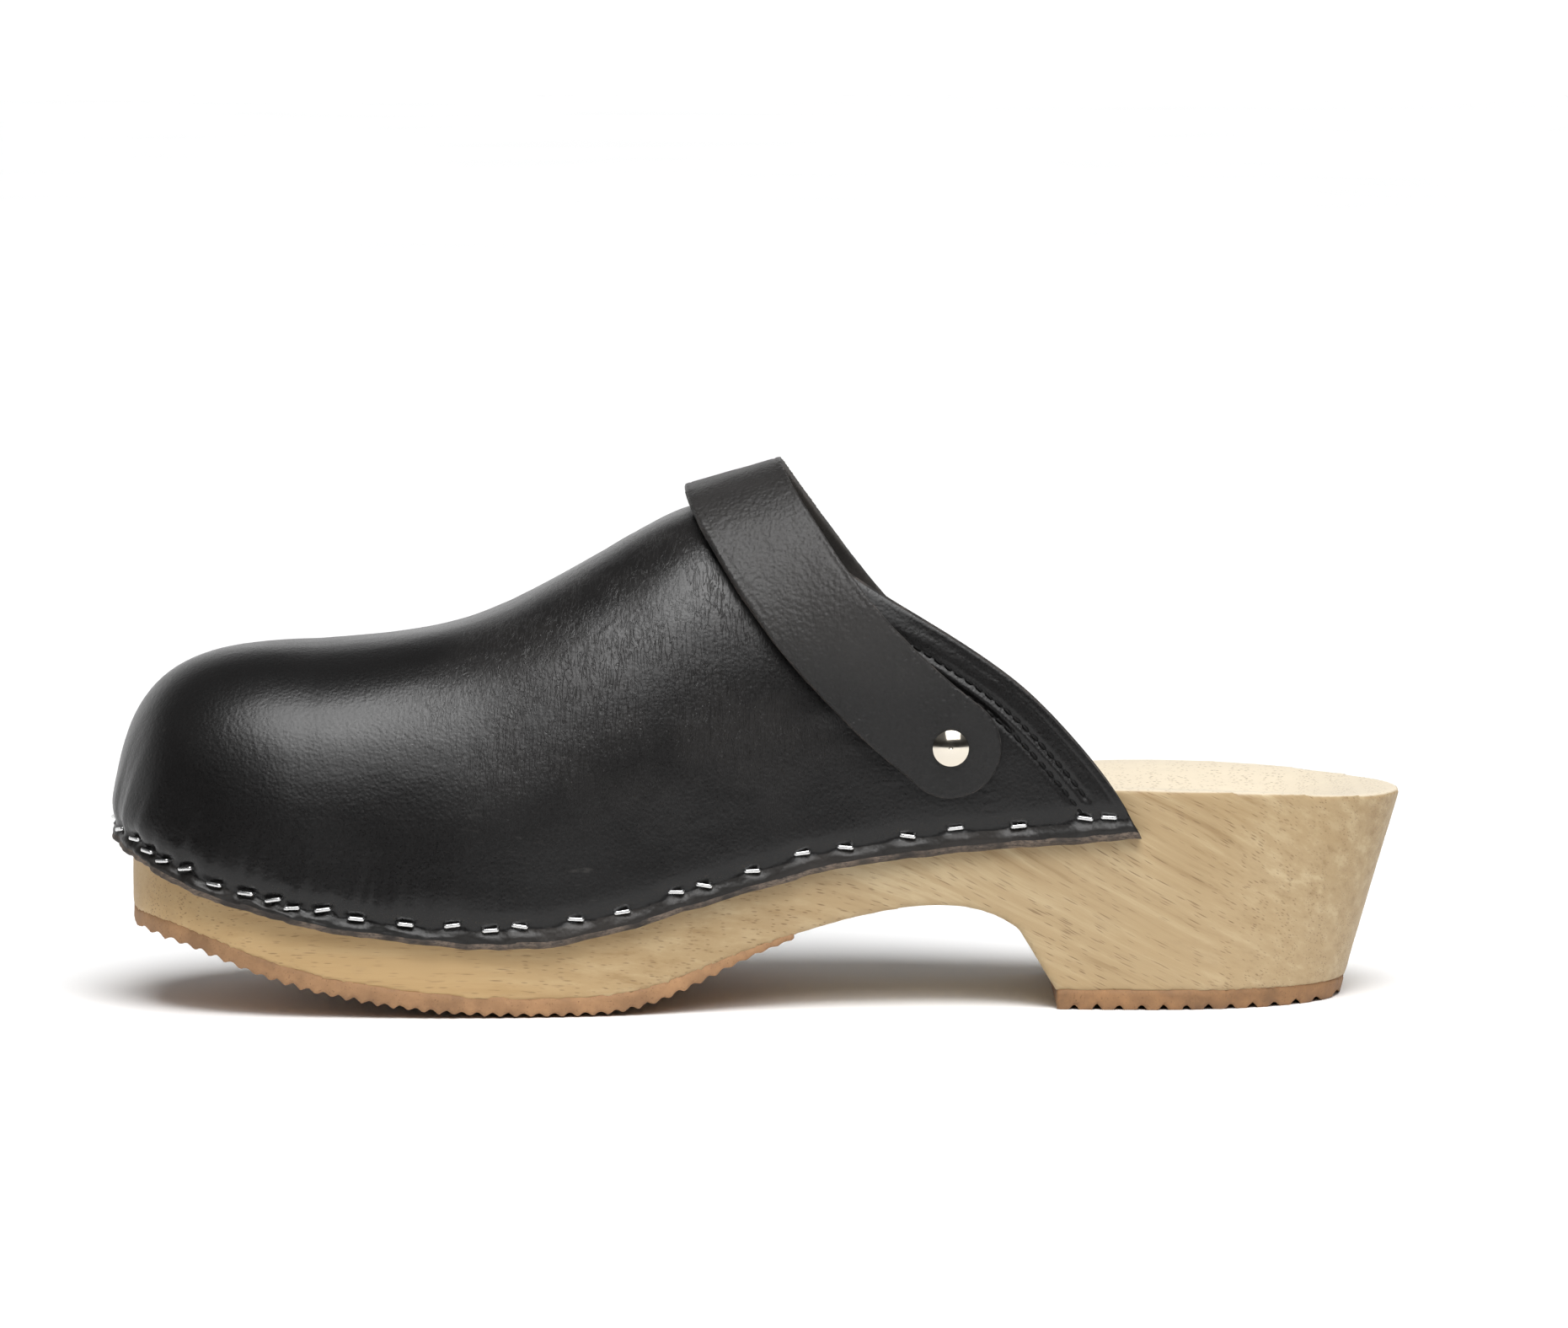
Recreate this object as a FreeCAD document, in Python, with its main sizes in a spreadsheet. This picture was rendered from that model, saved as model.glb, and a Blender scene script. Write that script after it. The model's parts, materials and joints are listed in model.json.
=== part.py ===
import FreeCAD, Part
import Sketcher
import math
import os

# A right-foot wooden clog, in millimetres. The toe points along -X, the inner (medial) side of
# the foot is -Y, and +Z is up. The origin is under the middle of the shoe, on the floor.

Vector = FreeCAD.Vector
document = FreeCAD.newDocument("wooden_clog")

# ---------------------------------------------------------------- driving dimensions

DIMENSIONS = [
    ("toe_reach", 123.7, "wood, from the origin to the tip of the toe"),
    ("heel_reach", 127.8, "wood, from the origin to the rear of the heel seat"),
    ("ball_half_width", 45.0, "wood, half the width at the ball of the foot"),
    ("blank_height", 56.0, "height of the block that the sole is carved from"),
    ("cut_width", 140.0, "length of the cutters that run right across the sole"),
    ("rubber_thickness", 3.5, "outsole rubber, ribs included"),
    ("tread_depth", 1.1, "depth of the grooves between the ribs"),
    ("forepart_rib_pitch", 3.0, "from one forepart rib to the next"),
    ("heel_rib_pitch", 4.4, "from one heel rib to the next"),
    ("leather_thickness", 2.2, "vamp leather"),
    ("toe_stand", 4.6, "how far the leather stands out from the wood at the toe"),
    ("side_stand", 2.3, "the same along the sides"),
    ("puff_thickness", 1.2, "toe stiffener"),
    ("facing_thickness", 0.8, "tape inside the topline"),
    ("facing_width", 12.0, "width of that tape"),
    ("thread_width", 0.7, "sewing thread"),
    ("seam_inset", 5.2, "from the topline to the first seam"),
    ("seam_spacing", 2.5, "between the two seams"),
    ("strap_width", 20.0, "instep strap"),
    ("strap_thickness", 2.4, "instep strap"),
    ("strap_inner_half", 32.0, "from the middle plane to the inner face of a strap arm"),
    ("strap_end_radius", 10.0, "rounded end of the strap about its rivet"),
    ("rivet_x", 37.5, "rivet axis"),
    ("rivet_z", 52.3, "rivet axis"),
    ("post_radius", 1.6, "rivet post"),
    ("running_clearance", 0.05, "between a strap hole and its post, on the radius"),
    ("cap_radius", 3.53, "rivet cap"),
    ("cap_height", 1.5, "rivet cap, its rim included"),
    ("cap_rim", 0.45, "straight rim of the rivet cap"),
    ("cap_gap", 0.3, "between the strap and the underside of the cap"),
    ("flange_radius", 3.4, "inner flange of the rivet post"),
    ("flange_thickness", 0.8, "inner flange of the rivet post"),
    ("staple_crown", 3.4, "outside length of a staple's crown"),
    ("staple_wire", 0.75, "staple wire, square"),
    ("staple_leg", 7.0, "length of a staple's leg"),
    ("staple_height", 3.9, "from the leather's lower edge to the row of staples"),
]

sheet = document.addObject("Spreadsheet::Sheet", "Dims")
for row, (alias, value, meaning) in enumerate(DIMENSIONS, start=1):
    sheet.set(f"A{row}", alias)
    sheet.set(f"B{row}", str(value))
    sheet.set(f"C{row}", meaning)
    sheet.setAlias(f"B{row}", alias)
document.recompute()


def dim(alias):
    """The value of one driving dimension, read from the sheet."""
    return float(sheet.get(alias))


# ---------------------------------------------------------------- smooth curves


class Profile:
    """A natural cubic spline z(x) through stations, straight beyond its two ends."""

    def __init__(self, stations):
        self.xs = [x for x, _ in stations]
        self.zs = [z for _, z in stations]
        count = len(stations)
        self.bends = [0.0] * count
        steps = [self.xs[i + 1] - self.xs[i] for i in range(count - 1)]
        rises = [(self.zs[i + 1] - self.zs[i]) / steps[i] for i in range(count - 1)]
        upper = [0.0] * count
        right = [0.0] * count
        for i in range(1, count - 1):
            pivot = 2 * (steps[i - 1] + steps[i]) - steps[i - 1] * upper[i - 1]
            upper[i] = steps[i] / pivot
            right[i] = (6 * (rises[i] - rises[i - 1]) - steps[i - 1] * right[i - 1]) / pivot
        for i in range(count - 2, 0, -1):
            self.bends[i] = right[i] - upper[i] * self.bends[i + 1]
        self.steps = steps
        self.start_slope = rises[0] - steps[0] * self.bends[1] / 6
        self.end_slope = rises[-1] + steps[-1] * self.bends[-2] / 6

    def __call__(self, x):
        if x <= self.xs[0]:
            return self.zs[0] + self.start_slope * (x - self.xs[0])
        if x >= self.xs[-1]:
            return self.zs[-1] + self.end_slope * (x - self.xs[-1])
        i = max(k for k in range(len(self.steps)) if self.xs[k] <= x)
        step = self.steps[i]
        before = (self.xs[i + 1] - x) / step
        after = 1 - before
        curve = (before**3 - before) * self.bends[i] + (after**3 - after) * self.bends[i + 1]
        return before * self.zs[i] + after * self.zs[i + 1] + curve * step * step / 6


def blend(low, high, x):
    """0 below low, 1 above high, and a smooth step between."""
    part = min(1.0, max(0.0, (x - low) / (high - low)))
    return part * part * (3 - 2 * part)


def mix(first, second, part):
    return first + (second - first) * part


# ---------------------------------------------------------------- plan of the sole

# Going round the sole from the rear of the heel: a place along the length, from the toe at 0 to
# the heel at 1, and a side distance in half ball widths. The inner side comes first.
PLAN_STATIONS = [
    (1.000, 0.00),
    (0.972, -0.40),
    (0.905, -0.615),
    (0.820, -0.675),
    (0.720, -0.650),
    (0.620, -0.652),
    (0.520, -0.725),
    (0.400, -0.88),
    (0.290, -0.965),
    (0.170, -0.965),
    (0.080, -0.90),
    (0.026, -0.73),
    (0.000, -0.40),
    (0.008, -0.03),
    (0.052, 0.36),
    (0.135, 0.70),
    (0.240, 0.94),
    (0.350, 1.00),
    (0.445, 0.92),
    (0.530, 0.745),
    (0.610, 0.662),
    (0.720, 0.650),
    (0.820, 0.675),
    (0.905, 0.615),
    (0.972, 0.40),
]

# The rear of the heel slopes, and the whole edge draws in a little towards the floor.
HEEL_SLOPE = 0.285
SIDE_DRAFT = 0.05
SIDE_DRAFT_REFERENCE = 24.0
SIDE_DRAFT_GAIN = 1.6
HEEL_SLOPE_START = 40.0
SEAT_LEVEL = 41.0
PLAN_SAMPLES = 720


def plan_station_points(height):
    """The plan's stations at a height, as points."""
    toe = dim("toe_reach")
    length = toe + dim("heel_reach")
    points = []
    for along, across in PLAN_STATIONS:
        x = along * length - toe
        y = across * dim("ball_half_width")
        rear = blend(HEEL_SLOPE_START, dim("heel_reach"), x)
        x -= rear * HEEL_SLOPE * (SEAT_LEVEL - height)
        draw_in = SIDE_DRAFT * max(0.0, SIDE_DRAFT_REFERENCE - height)
        size = math.hypot(x, y)
        y -= math.copysign(min(abs(y), draw_in * abs(y) / size * SIDE_DRAFT_GAIN), y)
        points.append(Vector(x, y, height))
    return points


def plan_curve(points):
    curve = Part.BSplineCurve()
    curve.interpolate(Points=points, PeriodicFlag=True)
    return curve


def sampled(curve):
    """Points and outward normals round a closed plan curve."""
    first = curve.FirstParameter
    span = curve.LastParameter - first
    samples = []
    for i in range(PLAN_SAMPLES):
        parameter = first + span * i / PLAN_SAMPLES
        point = curve.value(parameter)
        tangent = curve.tangent(parameter)[0]
        normal = Vector(tangent.y, -tangent.x, 0)
        if normal.x * point.x + normal.y * point.y < 0:
            normal = -normal
        samples.append((point, normal))
    return samples


SOLE_EDGE = sampled(plan_curve(plan_station_points(SEAT_LEVEL)))


STAND_SETTLED_X = -60.0


def stand(x):
    """How far the leather's outer face stands out from the wood."""
    return mix(dim("toe_stand"), dim("side_stand"), blend(-dim("toe_reach"), STAND_SETTLED_X, x))


LEATHER_EDGE = [point + normal * stand(point.x) for point, normal in SOLE_EDGE]


def edge_half_width(x, side):
    """Distance from the middle plane to the leather's outer face; side is -1 inner, +1 outer."""
    found = []
    for i, first in enumerate(LEATHER_EDGE):
        second = LEATHER_EDGE[(i + 1) % len(LEATHER_EDGE)]
        if (first.x - x) * (second.x - x) <= 0 and first.x != second.x:
            y = mix(first.y, second.y, (x - first.x) / (second.x - first.x))
            found.append(y * side)
    return max(found)


def edge_along(centre, direction):
    """Where a ray from a point inside the plan meets the leather's outer face."""
    best = 0.0
    for i, first in enumerate(LEATHER_EDGE):
        second = LEATHER_EDGE[(i + 1) % len(LEATHER_EDGE)]
        offset_first = (first.x - centre.x) * direction.y - (first.y - centre.y) * direction.x
        offset_second = (second.x - centre.x) * direction.y - (second.y - centre.y) * direction.x
        if offset_first * offset_second <= 0 and offset_first != offset_second:
            part = offset_first / (offset_first - offset_second)
            hit_x = mix(first.x, second.x, part) - centre.x
            hit_y = mix(first.y, second.y, part) - centre.y
            best = max(best, hit_x * direction.x + hit_y * direction.y)
    return best


# ---------------------------------------------------------------- side view of the sole

UNDERSIDE = Profile([
    (-130.0, 20.2),
    (-112.8, 17.0),
    (-97.7, 11.5),
    (-80.0, 6.9),
    (-62.0, 4.3),
    (-40.0, 3.5),
    (-25.0, 4.4),
    (-8.0, 9.9),
    (13.2, 16.9),
    (33.3, 20.6),
    (44.0, 19.3),
    (51.0, 15.8),
])
BREAST_TOP = 51.0
BREAST_FOOT = 58.5

WOOD_RIM = Profile([
    (-130.0, 39.0),
    (-105.0, 31.5),
    (-75.0, 25.0),
    (-45.0, 23.3),
    (-15.0, 28.5),
    (15.0, 37.0),
    (45.0, 42.4),
    (71.0, 43.6),
    (100.0, 42.9),
    (128.0, 41.2),
])

FOOTBED_DISH = Profile([
    (-130.0, 3.0),
    (-90.0, 3.4),
    (-45.0, 3.4),
    (0.0, 2.2),
    (40.0, 2.6),
    (80.0, 5.0),
    (130.0, 5.0),
])

ARCH_RISE = 3.2
ARCH_CENTRE = 22.0
ARCH_REACH = 62.0
TOE_RIDGE_RISE = 1.4
TOE_RIDGE_CENTRE = -62.0
TOE_RIDGE_REACH = 13.0


FOOTBED_HALF_WIDTH = {
    -1: Profile([(-110.0, 36.0), (-60.0, 42.0), (0.0, 31.5), (60.0, 28.0), (110.0, 27.0)]),
    1: Profile([(-110.0, 30.0), (-60.0, 42.0), (-20.0, 43.0), (50.0, 29.0), (110.0, 27.0)]),
}


def footbed_height(x, y):
    """Height of the carved footbed: a dished seat with an arch and a low ridge for the toes."""
    side = -1 if y < 0 else 1
    share = min(1.0, abs(y) / FOOTBED_HALF_WIDTH[side](x))
    bowl = (1 - share * share) ** 2 * blend(-124.0, -96.0, x) * (1 - blend(98.0, 127.0, x))
    arch = ARCH_RISE * math.exp(-((x - ARCH_CENTRE) / (ARCH_REACH / 2)) ** 2)
    arch_tilt = -arch * share * side
    ridge = TOE_RIDGE_RISE * math.exp(-((x - TOE_RIDGE_CENTRE) / TOE_RIDGE_REACH) ** 2) * bowl
    return WOOD_RIM(x) - FOOTBED_DISH(x) * bowl + arch_tilt * 0.6 + ridge


# ---------------------------------------------------------------- document helpers


def origin_plane(body, role):
    return [item for item in body.Origin.OriginFeatures if item.Role == role][0]


def new_body(name):
    body = document.addObject("PartDesign::Body", name)
    body.Label = name
    return body


def new_sketch(body, name, role):
    sketch = body.newObject("Sketcher::SketchObject", name)
    sketch.AttachmentSupport = [(origin_plane(body, role), "")]
    sketch.MapMode = "FlatFace"
    return sketch


def closed_polyline(sketch, corners):
    """Adds straight edges round a list of (x, y) corners, joined end to end."""
    first_edge = sketch.GeometryCount
    for i, corner in enumerate(corners):
        following = corners[(i + 1) % len(corners)]
        sketch.addGeometry(Part.LineSegment(Vector(*corner, 0), Vector(*following, 0)), False)
    count = len(corners)
    for i in range(count):
        joined = first_edge + (i + 1) % count
        sketch.addConstraint(Sketcher.Constraint("Coincident", first_edge + i, 2, joined, 1))


def make_feature(name, shape):
    feature = document.addObject("Part::Feature", name)
    feature.Label = name
    feature.Shape = shape
    return feature


def cut(name, base, tool):
    feature = document.addObject("Part::Cut", name)
    feature.Base = base
    feature.Tool = tool
    feature.Label = name
    return feature


def common(name, base, tool):
    feature = document.addObject("Part::Common", name)
    feature.Base = base
    feature.Tool = tool
    feature.Label = name
    return feature


def surface_through(grid):
    surface = Part.BSplineSurface()
    surface.interpolate(grid)
    return surface


def sheet_solid(outer_grid, inner_grid):
    """A closed solid between two grids of points that match point for point."""
    outer = surface_through(outer_grid)
    inner = surface_through(inner_grid)
    faces = [outer.toShape(), inner.toShape()]
    for border in ("u_first", "u_last", "v_first", "v_last"):
        edges = [border_edge(surface, border) for surface in (outer, inner)]
        faces.append(Part.makeRuledSurface(edges[0], edges[1]))
    shell = Part.Shell(Part.makeCompound(faces).Faces)
    shell.sewShape()
    solid = Part.Solid(Part.Shell(shell.Faces))
    if solid.Volume < 0:
        solid.reverse()
    return solid


def border_edge(surface, border):
    u_first, u_last, v_first, v_last = surface.bounds()
    if border == "u_first":
        return surface.uIso(u_first).toShape()
    if border == "u_last":
        return surface.uIso(u_last).toShape()
    if border == "v_first":
        return surface.vIso(v_first).toShape()
    return surface.vIso(v_last).toShape()


# ---------------------------------------------------------------- wooden sole

blank = new_body("sole_blank")
blank_sketches = []
for name, height in (("plan_at_floor", 0.0), ("plan_at_top", dim("blank_height"))):
    plan = new_sketch(blank, name, "XY_Plane")
    plan.AttachmentOffset = FreeCAD.Placement(Vector(0, 0, height), FreeCAD.Rotation())
    flat = [Vector(point.x, point.y, 0) for point in plan_station_points(height)]
    plan.addGeometry(plan_curve(flat), False)
    blank_sketches.append(plan)
blank_sketches[1].setExpression("AttachmentOffset.Base.z", "Dims.blank_height")
block = blank.newObject("PartDesign::AdditiveLoft", "block")
block.Profile = blank_sketches[0]
block.Sections = [blank_sketches[1]]
block.Ruled = True
document.recompute()


def underside_points(first, last, count):
    step = (last - first) / (count - 1)
    return [Vector(first + i * step, UNDERSIDE(first + i * step), 0) for i in range(count)]


underside = new_body("underside_cutter")
side_view = new_sketch(underside, "underside_profile", "XZ_Plane")
rocker = Part.BSplineCurve()
rocker_points = underside_points(-140.0, BREAST_TOP, 24)
rocker.interpolate(rocker_points)
heel_lift = dim("rubber_thickness")
LOWEST = -10.0
side_view.addGeometry(rocker, False)
corners = [
    (rocker_points[-1].x, rocker_points[-1].y),
    (BREAST_FOOT, heel_lift),
    (dim("heel_reach") + 10, heel_lift),
    (dim("heel_reach") + 10, LOWEST),
    (-140.0, LOWEST),
    (rocker_points[0].x, rocker_points[0].y),
]
for start, end in zip(corners, corners[1:]):
    side_view.addGeometry(Part.LineSegment(Vector(*start, 0), Vector(*end, 0)), False)
underside_pad = underside.newObject("PartDesign::Pad", "across")
underside_pad.Profile = side_view
underside_pad.Midplane = True
underside_pad.setExpression("Length", "Dims.cut_width")

grid = []
for i in range(34):
    x = -140.0 + i * 280.0 / 33
    grid.append([Vector(x, y, footbed_height(x, y)) for y in range(-60, 61, 6)])
footbed = make_feature("footbed_cutter", surface_through(grid).toShape().extrude(Vector(0, 0, 90)))

carved_below = cut("carved_below", blank, underside)
wooden_sole = cut("wooden_sole", carved_below, footbed)

# ---------------------------------------------------------------- rubber outsoles

FOREPART_REAR = 7.3
FOREPART_THIN_FROM = -22.0
TOE_RUBBER_END = -140.0


def forepart_thickness(x):
    """The forepart rubber skives thin towards the waist."""
    thin = blend(FOREPART_THIN_FROM, FOREPART_REAR, x)
    return mix(dim("rubber_thickness"), 1.0, thin)


def forepart_profile():
    """Side view of the forepart rubber: the wood's rocker above, saw teeth below."""
    top = underside_points(TOE_RUBBER_END, FOREPART_REAR, 24)
    pitch = dim("forepart_rib_pitch")
    count = round((FOREPART_REAR - TOE_RUBBER_END) / pitch)
    teeth = []
    for i in range(count):
        tip = FOREPART_REAR - i * pitch - 0.25 * pitch
        root = tip - 0.5 * pitch
        depth = min(dim("tread_depth"), forepart_thickness(root) * 0.4)
        teeth.append((tip, UNDERSIDE(tip) - forepart_thickness(tip)))
        teeth.append((root, UNDERSIDE(root) - forepart_thickness(root) + depth))
    return top, teeth


def heel_profile():
    """Side view of the heel rubber: a flat top and flat-topped ribs."""
    top = dim("rubber_thickness")
    pitch = dim("heel_rib_pitch")
    rear = dim("heel_reach")
    corners = [(rear, top), (BREAST_FOOT, top), (BREAST_FOOT, 0.0)]
    count = int((rear - BREAST_FOOT) / pitch)
    for i in range(count):
        start = BREAST_FOOT + (i + 0.62) * pitch
        corners.append((start, 0.0))
        corners.append((start + 0.10 * pitch, dim("tread_depth")))
        corners.append((start + 0.28 * pitch, dim("tread_depth")))
        corners.append((start + 0.38 * pitch, 0.0))
    corners.append((rear, 0.0))
    return corners


forepart_cutter = new_body("forepart_rubber_sheet")
forepart_sketch = new_sketch(forepart_cutter, "forepart_profile", "XZ_Plane")
rubber_top, teeth = forepart_profile()
top_curve = Part.BSplineCurve()
top_curve.interpolate(rubber_top)
forepart_sketch.addGeometry(top_curve, False)
outline = [(rubber_top[-1].x, rubber_top[-1].y)] + teeth + [(rubber_top[0].x, rubber_top[0].y)]
for start, end in zip(outline, outline[1:]):
    forepart_sketch.addGeometry(Part.LineSegment(Vector(*start, 0), Vector(*end, 0)), False)
forepart_pad = forepart_cutter.newObject("PartDesign::Pad", "forepart_across")
forepart_pad.Profile = forepart_sketch
forepart_pad.Midplane = True
forepart_pad.setExpression("Length", "Dims.cut_width")

heel_cutter = new_body("heel_rubber_sheet")
heel_sketch = new_sketch(heel_cutter, "heel_profile", "XZ_Plane")
closed_polyline(heel_sketch, heel_profile())
heel_pad = heel_cutter.newObject("PartDesign::Pad", "heel_across")
heel_pad.Profile = heel_sketch
heel_pad.Midplane = True
heel_pad.setExpression("Length", "Dims.cut_width")

forepart_outsole = common("forepart_outsole", blank, forepart_cutter)
heel_outsole = common("heel_outsole", blank, heel_cutter)

# ---------------------------------------------------------------- shape of the upper

TOE_CENTRE_X = -88.0
TOE_CENTRE_Y = -4.0
THROAT_X = -6.0
TOPLINE_REAR_X = 72.0
MARGIN_REAR_X = 74.7
VIRTUAL_MARGIN = 12.0

RIDGE = Profile([
    (-88.0, 70.8),
    (-72.5, 72.2),
    (-57.4, 75.1),
    (-42.3, 81.9),
    (-27.1, 90.8),
    (-15.0, 96.8),
    (-6.0, 99.3),
    (12.0, 102.3),
    (40.0, 104.0),
    (80.0, 104.5),
])

MARGIN = Profile([
    (-128.5, 32.5),
    (-117.9, 26.8),
    (-107.8, 23.0),
    (-97.7, 19.9),
    (-82.6, 16.7),
    (-65.0, 14.4),
    (-47.3, 14.0),
    (-32.0, 15.9),
    (-7.0, 22.7),
    (13.2, 27.9),
    (33.3, 30.9),
    (53.5, 32.9),
    (75.3, 34.3),
])

TOPLINE = Profile([
    (-6.0, 99.3),
    (2.0, 95.2),
    (10.0, 90.6),
    (18.8, 84.8),
    (32.0, 76.7),
    (44.6, 68.7),
    (53.2, 62.0),
    (61.0, 54.0),
    (68.9, 44.4),
    (72.0, 40.0),
])

# The outer side of the upper is cut lower for the ankle bone and ends further forward.
OUTER_SETBACK = 4.5
OUTER_SETBACK_FULL_X = 40.0
OUTER_TOPLINE_DROP = 5.0
OUTER_TOPLINE_DROP_X = 34.0
OUTER_TOPLINE_DROP_REACH = 24.0
OUTER_MARGIN_DROP = 1.8


def margin_height(x, side):
    drop = OUTER_MARGIN_DROP * math.exp(-((x - 20.0) / 35.0) ** 2) if side > 0 else 0.0
    return MARGIN(x) - drop


def topline_height(x, side):
    low = 0.0
    setback = 0.0
    if side > 0:
        setback = OUTER_SETBACK * blend(THROAT_X, OUTER_SETBACK_FULL_X, x)
        share = (x - OUTER_TOPLINE_DROP_X) / OUTER_TOPLINE_DROP_REACH
        low = OUTER_TOPLINE_DROP * math.exp(-share * share)
        low *= blend(THROAT_X, 20.0, x)
    return TOPLINE(x + setback) - low


def rear_setback(side):
    return OUTER_SETBACK if side > 0 else 0.0


def ridge_side(x):
    return mix(TOE_CENTRE_Y, 0.0, blend(TOE_CENTRE_X, -10.0, x))


class Section:
    """One upright section of the upper: from the margin at an edge point up to the ridge."""

    def __init__(self, centre, edge, roundness):
        self.centre = centre
        self.edge = edge
        self.roundness = roundness
        side = -1 if edge.y < centre.y else 1
        self.margin = margin_height(edge.x, side)
        self.low = self.margin - VIRTUAL_MARGIN
        self.top = RIDGE(max(centre.x, TOE_CENTRE_X))

    def point(self, angle, depth):
        """A point of the surface; depth is measured inwards from the outer face."""
        power = self.roundness
        out = max(0.0, math.cos(angle))
        up = max(0.0, math.sin(angle))
        swell = (out**power + up**power) ** (-1 / power)
        reach = self.edge - self.centre
        length = (reach.Length - depth) * out * swell
        height = (self.top - depth - self.low) * up * swell
        place = self.centre + reach.normalize() * length
        return Vector(place.x, place.y, self.low + height)

    def angle_at(self, height):
        share = min(1.0, max(0.0, (height - self.low) / (self.top - self.low)))
        return math.atan2(share, (1 - share**self.roundness) ** (1 / self.roundness))


def section_across(x, side):
    centre = Vector(x, ridge_side(x), 0)
    edge = Vector(x, side * edge_half_width(x, side), 0)
    return Section(centre, edge, mix(3.0, 2.75, blend(TOE_CENTRE_X, 0.0, x)))


def section_round_toe(bearing):
    """bearing is 0 straight ahead, negative to the inner side, in radians."""
    centre = Vector(TOE_CENTRE_X, TOE_CENTRE_Y, 0)
    ahead = Vector(-math.cos(bearing), math.sin(bearing), 0)
    edge = centre + ahead * edge_along(centre, ahead)
    return Section(centre, edge, 3.0 + 0.3 * math.cos(bearing) ** 2)


def chart_place(section, angle):
    """The flat chart of the upper: the ridge is its middle line and the margin its rim."""
    return mix_points(section.edge, section.centre, angle / (math.pi / 2))


def mix_points(first, second, part):
    return first + (second - first) * part


def surface_at(place, depth):
    """The point of the upper that a place of the chart stands for."""
    if place.x >= TOE_CENTRE_X:
        middle = ridge_side(place.x)
        side = -1 if place.y < middle else 1
        section = section_across(place.x, side)
        share = abs(place.y - middle) / abs(section.edge.y - middle)
    else:
        across = place.y - TOE_CENTRE_Y
        bearing = math.atan2(across, TOE_CENTRE_X - place.x)
        section = section_round_toe(bearing)
        centre = section.centre
        share = math.hypot(place.x - centre.x, across) / (section.edge - centre).Length
    return section.point((1 - min(1.0, share)) * math.pi / 2, depth)


TOE_SHARE = 0.36
THROAT_GATHER = 2.1


def margin_place(u):
    """Chart place on the leather's lower edge; u runs from -1, inner rear, to 1, outer rear."""
    side = -1 if u < 0 else 1
    if abs(u) < TOE_SHARE:
        section = section_round_toe(u / TOE_SHARE * math.pi / 2)
    else:
        part = (abs(u) - TOE_SHARE) / (1 - TOE_SHARE)
        rear = MARGIN_REAR_X - rear_setback(side)
        section = section_across(mix(TOE_CENTRE_X, rear, part), side)
    return chart_place(section, section.angle_at(section.margin))


def topline_place(u):
    side = -1 if u < 0 else 1
    rear = TOPLINE_REAR_X - rear_setback(side)
    x = mix(THROAT_X, rear, abs(u) ** THROAT_GATHER)
    section = section_across(x, side)
    return chart_place(section, section.angle_at(topline_height(x, side)))


def upper_point(u, v, depth=0.0):
    """A point of the upper; v runs from 0 at the margin to 1 at the topline."""
    return surface_at(mix_points(margin_place(u), topline_place(u), v), depth)


def even_steps(first, last, count):
    return [mix(first, last, i / (count - 1)) for i in range(count)]


def upper_grid(us, vs_at, depth):
    """Grid of surface points; vs_at gives the v values for one u."""
    grid = []
    for u in us:
        low = margin_place(u)
        high = topline_place(u)
        grid.append([surface_at(mix_points(low, high, v), depth) for v in vs_at(u)])
    return grid


def inset_from_topline(u, distance):
    """The v at a distance from the topline, measured over the surface."""
    step = 0.02
    v = 1.0
    here = upper_point(u, v)
    walked = 0.0
    while v > 0:
        there = upper_point(u, v - step)
        length = (there - here).Length
        if walked + length >= distance:
            return v - step * (distance - walked) / length
        walked += length
        v -= step
        here = there
    return 0.0


# ---------------------------------------------------------------- vamp, stiffener, facing, seams

VAMP_COLUMNS = 65
VAMP_ROWS = 19
ROW_CROWDING = 1.5

LEATHER = dim("leather_thickness")
vamp_us = even_steps(-1.0, 1.0, VAMP_COLUMNS)
vamp_rows = [v**ROW_CROWDING for v in even_steps(0.0, 1.0, VAMP_ROWS)]
vamp_shell = make_feature(
    "vamp_shell",
    sheet_solid(
        upper_grid(vamp_us, lambda u: vamp_rows, 0.0),
        upper_grid(vamp_us, lambda u: vamp_rows, LEATHER),
    ),
)


def inner_layer(name, us, vs_at, outer_depth, thickness):
    outer_grid = upper_grid(us, vs_at, outer_depth)
    inner_grid = upper_grid(us, vs_at, outer_depth + thickness)
    return make_feature(name, sheet_solid(outer_grid, inner_grid))


LAYER_GAP = 0.2
PUFF_GAP = 0.9
PUFF_SPAN = 0.34
PUFF_LOW = 0.16
PUFF_HIGH = 0.52
puff_rows = even_steps(PUFF_LOW, PUFF_HIGH, 13)
puff_us = even_steps(-PUFF_SPAN, PUFF_SPAN, 45)
toe_puff = inner_layer("toe_puff", puff_us, lambda u: puff_rows, LEATHER + PUFF_GAP, dim("puff_thickness"))

SEAM_SPAN = 0.955
seam_us = even_steps(-SEAM_SPAN, SEAM_SPAN, 63)
FACING_START = 1.0
FACING_SPAN = 0.9
facing_us = even_steps(-FACING_SPAN, FACING_SPAN, 59)


def facing_rows(u):
    near = inset_from_topline(u, FACING_START)
    far = inset_from_topline(u, FACING_START + dim("facing_width"))
    return even_steps(far, near, 5)


facing_shell = inner_layer(
    "facing_shell", facing_us, facing_rows, LEATHER + LAYER_GAP, dim("facing_thickness")
)

THREAD_RISE = 0.35
THREAD_LIFT = 0.1


def seam(name, inset):
    def rows(u):
        half = dim("thread_width") / 2
        return even_steps(inset_from_topline(u, inset + half), inset_from_topline(u, inset - half), 3)

    return inner_layer(name, seam_us, rows, -THREAD_RISE, THREAD_RISE - THREAD_LIFT)


topline_thread_outer = seam("topline_thread_outer", dim("seam_inset"))
topline_thread_inner = seam("topline_thread_inner", dim("seam_inset") + dim("seam_spacing"))

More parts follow.
